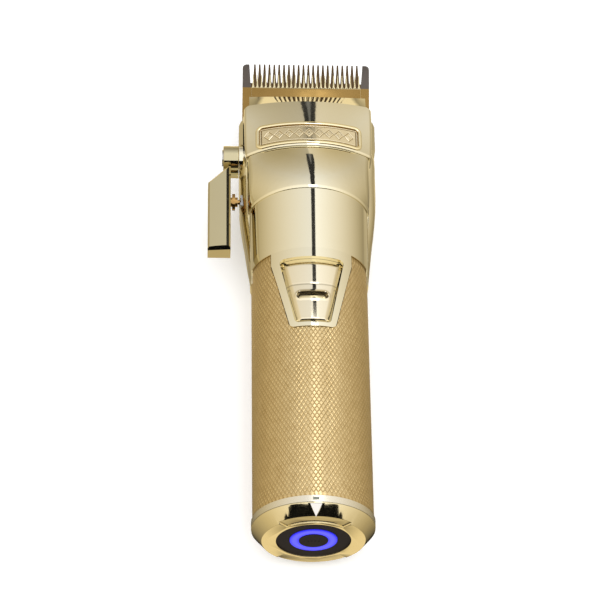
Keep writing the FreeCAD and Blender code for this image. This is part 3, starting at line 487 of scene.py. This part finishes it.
CIRCUIT = PlasticFinish("circuit_board", (0.02, 0.13, 0.05), 0.3)
RUBBER = PlasticFinish("seal_rubber", (0.02, 0.02, 0.02), 0.7)
WHITE_MARK = PlasticFinish("white_enamel", (0.66, 0.63, 0.59), 0.6, specular=0.2)
GREY_MARK = PlasticFinish("grey_enamel", (0.20, 0.21, 0.17), 0.7, specular=0.1)
LED_BLUE = GlowFinish("led_glow", (0.08, 0.08, 0.62), (0.012, 0.012, 0.42), 1.35, 6.3 * MM, 1.6 * MM)

BLADE_TIP = (189.1 * MM, 3.0 * MM)
BLADE_TILT = math.radians(20)
COMB_FINISH = BladeFinish("comb_blade", BLADE_GOLD, (0.11, 0.095, 0.088), BLADE_TIP, BLADE_TILT, 8.7 * MM,
                          0.3 * MM, (0.09, 0.058, 0.03), 20.0 * MM)
# The moving blade's cream colour over its teeth is a painted highlight.
MOVING_FINISH = BladeFinish("moving_blade", BLADE_GOLD, (1.0, 0.88, 0.56), BLADE_TIP, BLADE_TILT, 9.3 * MM,
                            0.3 * MM, (1.0, 0.88, 0.56), 20.0 * MM, coat_and_highlight_gloss=0.14)

CAD_FINISHES: dict[Finish, tuple[str, ...]] = {
    POLISHED_GOLD: ("front_shell", "face_band", "side_rail_left", "side_rail_right", "lever_bush"),
    SATIN_GOLD: ("rear_shell",),
    LEVER_GOLD: ("taper_lever",),
    PIN_GOLD: ("detent_plunger",),
    CAP_GOLD: ("core_tube",),
    RING_SILVER: ("index_ring",),
    STEEL: ("shell_screws", "blade_screws", "taper_carriage", "guide_rod", "tension_springs", "motor_shaft",
            "cam_bearing", "motor_bearing_rear", "motor_bearing_front", "motor_screws", "lever_shaft",
            "lever_screw", "detent_plate", "plunger_spring"),
    MOTOR_STEEL: ("motor_can", "stator_core"),
    MAGNET: ("rotor_magnet",),
    ALUMINIUM: ("blade_base", "motor_cover", "motor_mount", "battery_can"),
    BRASS: ("eccentric_cam", "contact_rings", "contact_pins"),
    COPPER: ("stator_coils",),
    CELL_WRAP: ("battery_cell",),
    BLACK_PLASTIC: ("board_components", "slide_contact", "cell_sleeve", "contact_carrier"),
    BLACK_DISC: ("end_disc", "centre_disc"),
    CIRCUIT: ("control_board", "led_board"),
    RUBBER: ("motor_cradle", "cap_seal"),
    WHITE_MARK: ("cap_marker",),
    GREY_MARK: ("ring_mark",),
    LED_BLUE: ("led_ring",),
}


def dress_cad_nodes() -> None:
    """Gives every carried-over node its finish."""
    for finish, nodes in CAD_FINISHES.items():
        material = finish.build()
        for node in nodes:
            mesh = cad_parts[node].data
            mesh.materials.clear()
            mesh.materials.append(material)
        LOG.info("%s on %s", material.name, ", ".join(nodes))


# ---------------------------------------------------------------- shared modelling
def new_object(bm: bmesh.types.BMesh, name: str, material: bpy.types.Material) -> bpy.types.Object:
    """Turns a bmesh into an object of the scene.

    Args:
        bm: its geometry, in place; it is freed.
        name: the object's name.
        material: its material.

    Returns:
        The new object.
    """
    mesh = bpy.data.meshes.new(name)
    bm.to_mesh(mesh)
    bm.free()
    mesh.materials.append(material)
    made = bpy.data.objects.new(name, mesh)
    bpy.context.scene.collection.objects.link(made)
    return made


def finish_piece(bm: bmesh.types.BMesh, name: str, body: str, node: str | None,
                 material: bpy.types.Material, crease: float, wall: float = 0.0) -> None:
    """Turns a bmesh into a finished piece that rides on a body and stands for a node.

    Args:
        bm: the piece's geometry, in place; it is freed.
        name: the object's name.
        body: the body it rides on.
        node: the node that it replaces, if it stands for one.
        material: its finish.
        crease: angle in degrees from which its edges stay sharp.
        wall: thickness to give an open skin on its inner side.
    """
    for face in bm.faces:
        face.smooth = True
    for edge in bm.edges:
        edge.smooth = len(edge.link_faces) == 2 and edge.calc_face_angle(math.pi) < math.radians(crease)
    piece = new_object(bm, name, material)
    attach(piece, body)
    if node:
        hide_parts(node)
    if wall:
        solid = piece.modifiers.new("wall", "SOLIDIFY")
        solid.thickness = wall
        solid.offset = -1.0
    LOG.info("%s: %d faces, rides on %s", name, len(piece.data.polygons), body)


# ---------------------------------------------------------------- grip
@dataclass
class KnurledGrip:
    """Sleeve with a diamond knurl, notched for the switch frame and shorter behind."""

    diamonds_around: int = 84
    rows: int = 77
    depth: float = 0.20 * MM
    land: float = 0.5
    valley_shade: float = 0.9
    wall: float = 1.05 * MM
    notch_foot: tuple[float, float] = (7.72 * MM, 69.68 * MM)
    notch_shoulder: tuple[float, float] = (13.87 * MM, 95.8 * MM)
    notch_corner: float = 1.1 * MM
    rear_end: float = 96.1 * MM
    parting_z: float = 3.1 * MM
    margin: float = 3 * MM

    def skin(self, radius: float, low: float, high: float) -> bmesh.types.BMesh:
        """Spins the sleeve's skin, lifts every second point to a peak and creases the valleys.

        Args:
            radius: the peaks' radius.
            low: y of the sleeve's lower end.
            high: y of its upper end.

        Returns:
            The open skin.
        """
        bm = bmesh.new()
        step = (high - low) / self.rows
        column = [bm.verts.new((0.0, low + row * step, radius)) for row in range(self.rows + 1)]
        edges = [bm.edges.new(pair) for pair in zip(column, column[1:])]
        turns = 2 * self.diamonds_around
        bmesh.ops.spin(bm, geom=column + edges, cent=(0, 0, 0), axis=(0, 1, 0), dvec=(0, 0, 0),
                       angle=2 * math.pi, steps=turns, use_merge=True, use_normal_flip=False,
                       use_duplicate=False)
        bmesh.ops.remove_doubles(bm, verts=bm.verts, dist=1e-6)
        bmesh.ops.recalc_face_normals(bm, faces=bm.faces)
        valleys, peaks = set(), []
        painted_shade = bm.verts.layers.float.new(Mark.PAINTED_SHADE.value)
        for vert in bm.verts:
            turn = round(math.atan2(vert.co.x, vert.co.z) / (2 * math.pi) * turns)
            row = round((vert.co.y - low) / step)
            if (turn + row) % 2 and 0 < row < self.rows:
                peaks.append(vert)
            else:
                valleys.add(vert)
                # Valley points get painted shade.
                vert[painted_shade] = self.valley_shade
                vert.co *= Vector((1 - self.depth / radius, 1, 1 - self.depth / radius))
        for face in list(bm.faces):
            ends = [vert for vert in face.verts if vert in valleys]
            if len(ends) == 2:
                bmesh.utils.face_split(face, *ends)
        bmesh.ops.bevel(bm, geom=peaks, offset=self.land * step, offset_type="OFFSET", segments=1,
                        profile=0.5, affect="VERTICES", material=-1, clamp_overlap=True)
        return bm

    def cut(self, bm: bmesh.types.BMesh, point: Vector, normal: Vector,
            inside: Callable[[Vector], bool]) -> None:
        """Cuts some faces with one plane.

        Args:
            bm: the sleeve.
            point: a point of the plane.
            normal: the plane's normal.
            inside: tests a face's centre for whether the plane cuts it.
        """
        faces = [face for face in bm.faces if inside(face.calc_center_median())]
        edges = list(dict.fromkeys(edge for face in faces for edge in face.edges))
        verts = list(dict.fromkeys(vert for face in faces for vert in face.verts))
        bmesh.ops.bisect_plane(bm, geom=faces + edges + verts, plane_co=point, plane_no=normal, dist=1e-7)

    def notch(self, bm: bmesh.types.BMesh) -> None:
        """Opens the notch for the switch frame and trims the rear end.

        Args:
            bm: the sleeve.
        """
        foot, low = self.notch_foot
        shoulder, high = self.notch_shoulder
        corner = self.notch_corner
        margin = self.margin

        def near(centre: Vector) -> bool:
            """Tests whether a face lies in front, about the notch."""
            return centre.z > 0 and abs(centre.x) < shoulder + margin and centre.y > low - margin

        def behind(centre: Vector) -> bool:
            """Tests whether a face lies near the trimmed rear end."""
            return centre.y > self.rear_end - margin and centre.z < self.parting_z + margin

        slope = Vector((high - low, foot - shoulder, 0)).normalized()
        self.cut(bm, Vector((0, low, 0)), Vector((0, 1, 0)), near)
        for side in (-1, 1):
            flip = Vector((side, 1, 1))
            self.cut(bm, Vector((foot, low, 0)) * flip, slope * flip, near)
            self.cut(bm, Vector((foot - corner, low, 0)) * flip, Vector((1, -1, 0)) * flip, near)
            self.cut(bm, Vector((shoulder, high, 0)) * flip, Vector((side, 0, 0)), near)
        self.cut(bm, Vector((0, self.rear_end, 0)), Vector((0, 1, 0)), behind)
        self.cut(bm, Vector((0, 0, self.parting_z)), Vector((0, 0, 1)), behind)

        def inside(centre: Vector) -> bool:
            """Tests whether a face is to be taken away.

            Args:
                centre: the face's centre.

            Returns:
                Whether it lies in the notch or past the rear end.
            """
            if centre.z < self.parting_z:
                return centre.y > self.rear_end
            across = abs(centre.x)
            if centre.y < low or across > shoulder:
                return False
            lean = (across - foot) * slope.x + (centre.y - low) * slope.y
            return (centre.y > high or lean < 0) and across - foot + corner < centre.y - low

        doomed = [face for face in bm.faces if inside(face.calc_center_median())]
        bmesh.ops.delete(bm, geom=doomed, context="FACES")

    def build(self) -> None:
        """Makes the sleeve and puts it on the housing."""
        low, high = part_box("grip_sleeve")
        bm = self.skin(high.x, low.y, high.y)
        self.notch(bm)
        finish_piece(bm, "knurled_sleeve", "housing", "grip_sleeve", KNURL_GOLD.build(),
                     crease=8, wall=self.wall)


# ---------------------------------------------------------------- power switch
@dataclass
class SlideSwitch:
    """Sliding button: broad bevels round a crown with a shallow crease and a finger slot."""

    columns: int = 110
    rows: int = 128
    taper: float = 5.2 / 25.7
    edge_radius: float = 19.55 * MM
    crown_radius: float = 20.62 * MM
    corner: float = 1.3 * MM
    side_bevel: float = 2.1 * MM
    top_bevel: float = 1.7 * MM
    foot_bevel: float = 1.1 * MM
    crease_y: float = 86.1 * MM
    crease_reach: float = 7.0 * MM
    crease_depth: float = 0.10 * MM
    crease_line: float = 0.45 * MM
    crease_groove: float = 0.07 * MM
    slot_y: float = 81.75 * MM
    slot_half: float = 5.15 * MM
    slot_round: float = 1.4 * MM
    slot_depth: float = 2.2 * MM
    slot_wall: float = 0.45 * MM
    slot_shade_edge: float = 0.3 * MM
    crease_shade: float = 0.4
    lip_inside: float = 0.1 * MM
    lip_width: float = 0.75 * MM
    lip_height: float = 0.2 * MM
    wall: float = 0.8 * MM

    def half_width(self, y: float, low: Vector, high: Vector) -> float:
        """Half the button's width at a place, drawn in round its corners.

        Args:
            y: place along the body.
            low: the button's lowest corner.
            high: its highest corner.

        Returns:
            The half width there.
        """
        straight = high.x - (high.y - y) * self.taper
        near = max(self.corner - min(y - low.y, high.y - y), 0.0)
        return straight - self.corner + math.sqrt(self.corner ** 2 - near ** 2)

    def radius(self, across: float, y: float, half: float, low: float, high: float) -> float:
        """Outer radius of the button at a place.

        Args:
            across: distance from its middle line.
            y: place along the body.
            half: its half width there.
            low: y of its foot.
            high: y of its head.

        Returns:
            The radius from the body's axis.
        """
        rise = min((half - abs(across)) / self.side_bevel, (high - y) / self.top_bevel,
                   (y - low) / self.foot_bevel)
        rise = soft_step(rise)
        crease = max(0.0, 1 - abs(y - self.crease_y) / self.crease_reach) * self.crease_depth * rise
        crease += soft_step(1 - abs(y - self.crease_y) / self.crease_line) * self.crease_groove * rise
        over = max(abs(across) - self.slot_half + self.slot_round, 0.0)
        outside = math.hypot(over, y - self.slot_y) - self.slot_round
        slot = soft_step(-outside / self.slot_wall) * self.slot_depth
        lip = max(0.0, 1 - abs(outside) / self.lip_width) if outside > 0 else 1.0
        lifted = soft_step(lip) * self.lip_height * (outside > -self.lip_inside)
        return self.edge_radius + (self.crown_radius - self.edge_radius) * rise - crease - slot + lifted

    def painted_shade(self, across: float, y: float) -> float:
        """How much painted shade lies at a place: all over the slot's floor, and a trace along the crease.

        Args:
            across: distance from the middle line.
            y: place along the body.

        Returns:
            The painted shade, from 0 to 1.
        """
        over = max(abs(across) - self.slot_half + self.slot_round, 0.0)
        inside = self.slot_round - math.hypot(over, y - self.slot_y)
        crease = self.crease_shade * max(0.0, 1 - abs(y - self.crease_y) / self.crease_line)
        return max(soft_step(inside / self.slot_shade_edge), crease)

    def build(self) -> None:
        """Makes the button and puts it on the switch body."""
        low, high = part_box("switch_slider")
        bm = bmesh.new()
        bmesh.ops.create_grid(bm, x_segments=self.columns, y_segments=self.rows, size=1.0)
        painted_shade = bm.verts.layers.float.new(Mark.PAINTED_SHADE.value)
        for vert in bm.verts:
            y = low.y + (vert.co.y + 1) / 2 * (high.y - low.y)
            half = self.half_width(y, low, high)
            across = vert.co.x * half
            # The slot's floor and a trace along the crease get painted shade.
            vert[painted_shade] = self.painted_shade(across, y)
            radius = self.radius(across, y, half, low.y, high.y)
            turn = math.asin(across / self.edge_radius)
            vert.co = (radius * math.sin(turn), y, radius * math.cos(turn))
        bmesh.ops.recalc_face_normals(bm, faces=bm.faces)
        finish_piece(bm, "power_slider", "switch", "switch_slider", SLIDER_GOLD.build(),
                     crease=60, wall=self.wall)


def soft_step(value: float) -> float:
    """Clamps to 0..1 and rounds both ends.

    Args:
        value: any number.

    Returns:
        The rounded step.
    """
    value = min(max(value, 0.0), 1.0)
    return value * value * (3 - 2 * value) * 0.5 + value * 0.5


# ---------------------------------------------------------------- badge
@dataclass
class BadgePlate:
    """Inlaid plate with a raised chain of lozenges inside a thin engraved border."""

    columns: int = 360
    rows: int = 84
    border: float = 0.75 * MM
    line: float = 0.24 * MM
    line_depth: float = 0.2 * MM
    lozenges: int = 9
    lozenge_half: tuple[float, float] = (1.55 * MM, 1.9 * MM)
    lozenge_height: float = 0.10 * MM
    lozenge_slope: float = 5.0
    end_borders: float = 2.2
    outer_groove: tuple[float, float] = (-0.08, 0.09)
    inner_groove: tuple[float, float] = (0.5, 0.08)
    inner_share: float = 0.7
    inset: float = 0.03 * MM
    corner: float = 1.1 * MM
    sink: float = 0.1 * MM
    shade_gain: float = 1.2
    wall: float = 0.4 * MM

    def relief(self, x: float, y: float, half_x: float, half_y: float) -> float:
        """Height of the relief at a place.

        Args:
            x: place across, from the plate's middle.
            y: place along, from its middle.
            half_x: half the plate's width.
            half_y: half its length.

        Returns:
            The height above the plate.
        """
        edge = min(half_x - abs(x), half_y - abs(y)) - self.border
        height = -self.line_depth * max(0.0, 1 - abs(edge) / self.line)
        pitch = 2 * (half_x - self.border * self.end_borders) / self.lozenges
        place = (x / pitch + self.lozenges / 2) % 1.0 - 0.5
        if abs(x) < pitch * self.lozenges / 2:
            inside = 1 - abs(place * pitch) / self.lozenge_half[0] - abs(y) / self.lozenge_half[1]
            height += self.lozenge_height * soft_step(inside * self.lozenge_slope)
            grooves = ((self.outer_groove, 1.0), (self.inner_groove, self.inner_share))
            for (middle, reach), share in grooves:
                height -= self.line_depth * share * max(0.0, 1 - abs(inside - middle) / reach)
        return height

    def build(self) -> None:
        """Makes the plate, laid on the surface of the node it stands for."""
        low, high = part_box("badge_plate")
        surface = BVHTree.FromPolygons(*node_polygons("badge_plate"))
        middle = (low + high) / 2
        half = (high - low) / 2
        bm = bmesh.new()
        bmesh.ops.create_grid(bm, x_segments=self.columns, y_segments=self.rows, size=1.0)
        painted_shade = bm.verts.layers.float.new(Mark.PAINTED_SHADE.value)
        reach_x, reach_y = half.x - self.inset, half.y - self.inset
        for vert in bm.verts:
            x, y = vert.co.x * reach_x, vert.co.y * reach_y
            x = rounded_side(x, y, reach_x, reach_y, self.corner)
            hit = surface.ray_cast(Vector((middle.x + x, middle.y + y, high.z + MM)), Vector((0, 0, -1)))
            if hit[0] is None:
                hit = surface.find_nearest(Vector((middle.x + x, middle.y + y, high.z)))
            height = self.relief(x, y, half.x, half.y)
            vert.co = hit[0] + hit[1] * (height - self.sink)
            # Engraved lines and grooves get painted shade by their depth.
            vert[painted_shade] = min(1.0, max(0.0, -height) / self.line_depth * self.shade_gain)
        bmesh.ops.recalc_face_normals(bm, faces=bm.faces)
        finish_piece(bm, "badge_relief", "housing", "badge_plate", BADGE_GOLD.build(),
                     crease=75, wall=self.wall)


@dataclass
class BadgeBezel:
    """Rounded bead that frames the badge, laid on the face band."""

    half_width: float = 0.70 * MM
    height: float = 0.42 * MM
    depth: float = 0.6 * MM
    overlap: float = 0.12 * MM
    shade_fall: float = 1.8
    corner: float = 1.9 * MM
    corner_steps: int = 10
    step: float = 0.45 * MM
    ring: int = 16

    def path(self, middle: Vector, half: Vector) -> list[Vector]:
        """Lays out the bead's middle line, in plan, with round corners.

        Args:
            middle: the badge's middle.
            half: half the line's width and length.

        Returns:
            Its points, in order.
        """
        points = []
        for turn, (sx, sy) in enumerate(((1, -1), (1, 1), (-1, 1), (-1, -1))):
            centre = middle + Vector((sx * (half.x - self.corner), sy * (half.y - self.corner), 0))
            for step in range(self.corner_steps + 1):
                angle = math.radians(-90 + 90 * turn + 90 * step / self.corner_steps)
                points.append(centre + self.corner * Vector((math.cos(angle), math.sin(angle), 0)))
            length = 2 * ((half.x if turn % 2 else half.y) - self.corner)
            ahead = Vector((-math.sin(math.radians(90 * turn)), math.cos(math.radians(90 * turn)), 0))
            count = round(length / self.step)
            last = points[-1]
            points += [last + ahead * (length * step / count) for step in range(1, count)]
        return points

    def build(self) -> None:
        """Sweeps a rounded section round the badge and lays it on the band."""
        low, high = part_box("badge_plate")
        grow = self.half_width - self.overlap
        middle, half = (low + high) / 2, (high - low) / 2 + Vector((grow, grow, 0))
        surface = BVHTree.FromPolygons(*node_polygons("face_band"))
        laid = []
        for point in self.path(middle, half):
            above = Vector((point.x, point.y, high.z + MM))
            laid.append(surface.ray_cast(above, Vector((0, 0, -1)))[:2])
        bm = bmesh.new()
        painted_shade = bm.verts.layers.float.new(Mark.PAINTED_SHADE.value)
        rings = []
        for index, (point, normal) in enumerate(laid):
            along = (laid[(index + 1) % len(laid)][0] - laid[index - 1][0]).normalized()
            across = along.cross(normal).normalized()
            loop = []
            for step in range(self.ring):
                angle = 2 * math.pi * step / self.ring
                rise = math.sin(angle) * (self.height if math.sin(angle) > 0 else self.depth)
                vert = bm.verts.new(point + across * (math.cos(angle) * self.half_width) + normal * rise)
                # The bead's flanks get painted shade, none over its crown.
                vert[painted_shade] = max(0.0, 1 - self.shade_fall * math.sin(angle))
                loop.append(vert)
            rings.append([bm.edges.new((loop[step - 1], loop[step])) for step in range(self.ring)])
        for index, ring in enumerate(rings):
            bmesh.ops.bridge_loops(bm, edges=ring + rings[index - 1])
        bmesh.ops.recalc_face_normals(bm, faces=bm.faces)
        finish_piece(bm, "badge_bezel", "housing", None, BEZEL_GOLD.build(), crease=60)


def rounded_side(x: float, y: float, half_x: float, half_y: float, corner: float) -> float:
    """Pulls x in where y is within a corner's rounding, so a grid fills a rounded rectangle.

    Args:
        x: place across, from the middle.
        y: place along, from the middle.
        half_x: half the rectangle's width.
        half_y: half its length.
        corner: radius of its corners.

    Returns:
        The new x.
    """
    over = max(abs(y) - half_y + corner, 0.0)
    reach = half_x - corner + math.sqrt(max(corner * corner - over * over, 0.0))
    return x * reach / half_x


def node_polygons(node: str) -> tuple[list[Vector], list[tuple[int, ...]]]:
    """Vertices and faces of a carried-over node."""
    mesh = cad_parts[node].data
    return [vert.co.copy() for vert in mesh.vertices], [tuple(face.vertices) for face in mesh.polygons]


# ---------------------------------------------------------------- machined pieces
@dataclass
class MachinedPiece:
    """A flat-faced node carried over with its edges broken, as a ground or moulded piece has them."""

    node: str
    name: str
    body: str
    slot: str
    finish: Finish
    edge: float
    segments: int = 2
    weld: float = 0.002 * MM
    flat_angle: float = 1.0
    sharp_angle: float = 25.0

    def build(self) -> None:
        """Merges a copy of the node, joins its flat faces and bevels the edges."""
        bm = bmesh.new()
        bm.from_mesh(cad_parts[self.node].data)
        bmesh.ops.remove_doubles(bm, verts=bm.verts, dist=self.weld)
        flat, sharp_from = math.radians(self.flat_angle), math.radians(self.sharp_angle)
        bmesh.ops.dissolve_limit(bm, angle_limit=flat, verts=bm.verts, edges=bm.edges)
        sharp = [edge for edge in bm.edges
                 if len(edge.link_faces) == 2 and edge.calc_face_angle(0.0) > sharp_from]
        # Bevel faces carry the painted highlight attribute.
        painted_highlight = bm.faces.layers.float.new(Mark.PAINTED_HIGHLIGHT.value)
        broken = bmesh.ops.bevel(bm, geom=sharp, offset=self.edge, offset_type="OFFSET",
                                 segments=self.segments, profile=0.5, affect="EDGES", material=-1,
                                 clamp_overlap=True, harden_normals=False)
        for face in broken["faces"]:
            face[painted_highlight] = 1.0
        finish_piece(bm, self.name, self.body, self.node, self.finish.build(), crease=40)


MACHINED = (
    MachinedPiece("fixed_blade", "comb_blade", "housing", "blade_gold", COMB_FINISH, 0.1 * MM),
    MachinedPiece("cutter_blade", "moving_blade", "cutter", "blade_gold", MOVING_FINISH, 0.09 * MM),
    MachinedPiece("battery_cap", "twist_cap", "battery", "cap_gold", CAP_GOLD, 0.3 * MM, 3),
    MachinedPiece("cutter_yoke", "blade_follower", "cutter", "black_plastic", BLACK_PLASTIC, 0.25 * MM),
)


# ---------------------------------------------------------------- studio
@dataclass
class Card:
    """A card that only shows in reflections."""

    name: str
    outline: tuple[tuple[float, float, float], ...]

    def hang(self, material: bpy.types.Material) -> None:
        """Makes the card, seen by glossy rays only.

        Args:
            material: its material.
        """
        bm = bmesh.new()
        bmesh.ops.contextual_create(bm, geom=[bm.verts.new(corner) for corner in self.outline])
        card = new_object(bm, self.name, material)
        card.visible_camera = False
        card.visible_diffuse = False
        card.visible_shadow = False
        card.visible_transmission = False


@dataclass
class Studio:
    """Pale floor, a white light tent, cards over the ridge, the grip and in front, and the camera.

    A pair of numbers named for y or z is where a change in the tent starts and where it is complete.
    """

    floor_z: float
    middle_y: float
    distance: float = 0.9
    elevation: float = 59.5
    lens: float = 156.0
    roll: float = 0.85
    orbit: float = 2.9
    aim_x: float = -0.0031
    left_light: tuple[float, float, float] = (0.97, 0.02, 0.09)
    right_light: tuple[float, float, float] = (1.13, 0.25, 0.055)
    top_gain: float = 1.29
    end_y: tuple[float, float] = (0.25, 0.92)
    end_drop: float = 0.75
    right_lift: float = 0.19
    side_blend: float = 0.03
    front_paper_z: tuple[float, float] = (-0.72, -0.88)
    front_paper_y: tuple[float, float] = (-0.1, -0.3)
    tips_paper_z: tuple[float, float] = (0.0, -0.15)
    tips_paper_y: tuple[float, float] = (0.42, 0.6)
    tips_paper_x: tuple[float, float] = (0.85, 0.6)
    warm: Colour = (1.0, 0.84, 0.52)
    warm_turn: float = 0.5
    warm_end: float = 0.6
    warm_end_y: tuple[float, float] = (0.70, 0.95)
    ridge_turn: float = 6.5
    ridge_height: float = 0.30
    ridge_ends: tuple[float, float] = (0.234, 1.0)
    ridge_halves: tuple[float, float] = (0.017, 0.047)
    haze_from: float = 0.62
    haze_halves: tuple[float, float] = (0.002, 0.01974)
    haze_drop: float = 0.002
    haze_glow: float = 0.2
    strip_from: float = 0.05
    strip_half: float = 0.036
    strip_power: float = 3.2
    front_distance: float = 0.46
    front_half: float = 0.42
    front_heights: tuple[float, float] = (-0.05, 0.43)
    front_dark: float = 0.004
    dark: float = 0.035
    top_power: float = 0.9
    top_spread: float = 70.0
    top_tilt: float = 8.0
    floor_size: float = 4.0
    floor_grey: float = 0.93
    floor_glow: float = 0.18

    def floor(self) -> None:
        """Lays a plain pale floor under the clipper, which the polished metal doesn't mirror."""
        bm = bmesh.new()
        bmesh.ops.create_grid(bm, x_segments=1, y_segments=1, size=self.floor_size)
        bmesh.ops.translate(bm, vec=(0, 0, self.floor_z), verts=bm.verts)
        paper = self.paper("floor_paper", self.floor_glow, self.floor_grey, specular=0.1)
        floor = new_object(bm, "studio_floor", paper)
        floor.visible_glossy = False

    def wall(self, shade: Shade, turn: bpy.types.NodeSocket,
             light: tuple[float, float, float]) -> bpy.types.NodeSocket:
        """Brightness of one side of the tent, falling off with the turn away from the ridge.

        Args:
            shade: the world's shade helper.
            turn: angle from the ridge.
            light: brightness at the ridge, and how much it loses with the angle and its square.

        Returns:
            The brightness.
        """
        linear = shade.math("MULTIPLY", turn, light[1])
        square = shade.math("MULTIPLY", shade.math("MULTIPLY", turn, turn), light[2])
        return shade.math("SUBTRACT", light[0], shade.math("ADD", linear, square))

    def room(self) -> None:
        """Surrounds the clipper with a light tent: white over the ridge, dimmer and warmer down its sides."""
        world = bpy.data.worlds.new("light_tent")
        world.use_nodes = True
        shade = Shade(world.node_tree)
        split = shade.node("ShaderNodeSeparateXYZ")
        shade.link(shade.node("ShaderNodeTexCoord").outputs["Generated"], split.inputs[0])
        x, y, z = split.outputs
        around = shade.math("SUBTRACT", shade.math("ARCTAN2", x, z), math.radians(self.ridge_turn))
        turn = shade.math("ABSOLUTE", around)
        left, right = self.wall(shade, turn, self.left_light), self.wall(shade, turn, self.right_light)
        on_right = shade.ramp(around, -self.side_blend, self.side_blend)
        change = shade.math("MULTIPLY", on_right, shade.math("SUBTRACT", right, left))
        both = shade.math("ADD", left, change)
        end = shade.math("SUBTRACT", self.end_drop, shade.math("MULTIPLY", on_right, self.right_lift))
        drop = shade.math("MULTIPLY", shade.ramp(y, *self.end_y), end)
        lit = shade.math("MULTIPLY", both, shade.math("SUBTRACT", self.top_gain, drop))
        below_front = shade.math("MULTIPLY", shade.ramp(z, *self.front_paper_z),
                                 shade.ramp(y, *self.front_paper_y))
        across = shade.ramp(shade.math("ABSOLUTE", x), *self.tips_paper_x)
        below_tips = shade.math("MULTIPLY", shade.ramp(z, *self.tips_paper_z),
                                shade.ramp(y, *self.tips_paper_y))
        paper = shade.math("MAXIMUM", below_front, shade.math("MULTIPLY", below_tips, across))
        strength = shade.math("MAXIMUM", shade.math("MAXIMUM", lit, self.dark), paper)
        far = shade.math("MULTIPLY", shade.ramp(y, *self.warm_end_y), self.warm_end)
        warmth = shade.math("ADD", shade.math("MULTIPLY", turn, self.warm_turn), far, clamp=True)
        mirrored = shade.node("ShaderNodeLightPath").outputs["Is Glossy Ray"]
        tint = shade.mix(shade.math("MULTIPLY", warmth, mirrored), (1.0, 1.0, 1.0), self.warm)
        background = world.node_tree.nodes["Background"]
        shade.link(strength, background.inputs["Strength"])
        shade.link(tint, background.inputs["Color"])
        bpy.context.scene.world = world

    def paper(self, name: str, glow: float, grey: float = 0.0, specular: float = 0.0) -> bpy.types.Material:
        """Makes the plain material of the floor or of a card.

        Args:
            name: the material's name.
            glow: how much light it gives off.
            grey: how much it throws back.
            specular: its sheen.

        Returns:
            The material.
        """
        material, _, shader = new_material(name)
        shader.inputs["Base Color"].default_value = (grey, grey, grey, 1.0)
        shader.inputs["Roughness"].default_value = 0.9
        shader.inputs["Specular IOR Level"].default_value = specular
        shader.inputs["Emission Color"].default_value = (1.0, 1.0, 1.0, 1.0)
        shader.inputs["Emission Strength"].default_value = glow
        return material

    def overhead(self, name: str, ends: tuple[float, float], halves: tuple[float, float], drop: float,
                 material: bpy.types.Material) -> None:
        """Hangs a level card along the ridge line.

        Args:
            name: the card's name.
            ends: y of its near and far ends.
            halves: its half widths there.
            drop: how far it hangs below the ridge height.
            material: its material.
        """
        height = self.ridge_height - drop
        middle = height * math.tan(math.radians(self.ridge_turn))
        (near, far), (half0, half1) = ends, halves
        Card(name, ((middle - half0, near, height), (middle + half0, near, height),
                    (middle + half1, far, height), (middle - half1, far, height))).hang(material)

    def cards(self) -> None:
        """Hangs the ridge card with its paler far end, the strip over the grip and the card in front."""
        near, far = self.ridge_ends
        self.overhead("ridge_card", self.ridge_ends, self.ridge_halves, 0.0,
                      self.paper("dark_card", self.dark))
        self.overhead("haze_card", (self.haze_from, far), self.haze_halves, self.haze_drop,
                      self.paper("pale_card", self.haze_glow))
        self.overhead("strip_card", (self.strip_from, near), (self.strip_half, self.strip_half), 0.0,
                      self.paper("bright_card", self.strip_power))
        wide, away = self.front_half, -self.front_distance
        foot, top = self.front_heights
        outline = ((-wide, away, foot), (wide, away, foot), (wide, away, top), (-wide, away, top))
        Card("front_card", outline).hang(self.paper("front_card", self.front_dark))

    def top_light(self) -> None:
        """Hangs a wide soft lamp that whitens the floor and stays out of reflections."""
        lamp = bpy.data.lights.new("top_light", "SUN")
        lamp.energy = self.top_power
        lamp.angle = math.radians(self.top_spread)
        hung = bpy.data.objects.new("top_light", lamp)
        hung.rotation_euler = (math.radians(self.top_tilt), 0, 0)
        hung.visible_glossy = False
        bpy.context.scene.collection.objects.link(hung)
        bpy.context.scene.view_settings.view_transform = "Standard"

    def camera(self) -> None:
        """Sets the camera above the charging end, looking along the body."""
        data = bpy.data.cameras.new("camera")
        data.lens = self.lens
        data.sensor_width = 36.0
        data.clip_start = 0.05
        data.clip_end = 20.0
        camera = bpy.data.objects.new("camera", data)
        tilt = math.radians(self.elevation)
        aim = Vector((self.aim_x, self.middle_y, 0.0))
        back = Vector((0.0, -math.cos(tilt), math.sin(tilt)))
        orbit = Matrix.Rotation(math.radians(-self.orbit), 3, "Y")
        camera.location = aim + orbit @ back * self.distance
        turn = (-back).to_track_quat("-Z", "Y").to_matrix()
        roll = Matrix.Rotation(math.radians(-self.roll), 3, "Z")
        camera.rotation_euler = (orbit @ turn @ roll).to_euler()
        bpy.context.scene.collection.objects.link(camera)
        bpy.context.scene.camera = camera


def main() -> None:
    """Builds the looks, then the studio."""
    logging.basicConfig(level=logging.INFO, format="%(name)s: %(message)s")
    dress_cad_nodes()
    KnurledGrip().build()
    SlideSwitch().build()
    BadgePlate().build()
    BadgeBezel().build()
    for piece in MACHINED:
        piece.build()
    studio = Studio(floor_z=CAD_BOX[0][2], middle_y=91.65 * MM)
    studio.floor()
    studio.room()
    studio.cards()
    studio.top_light()
    studio.camera()


if __name__ == "__main__":
    main()
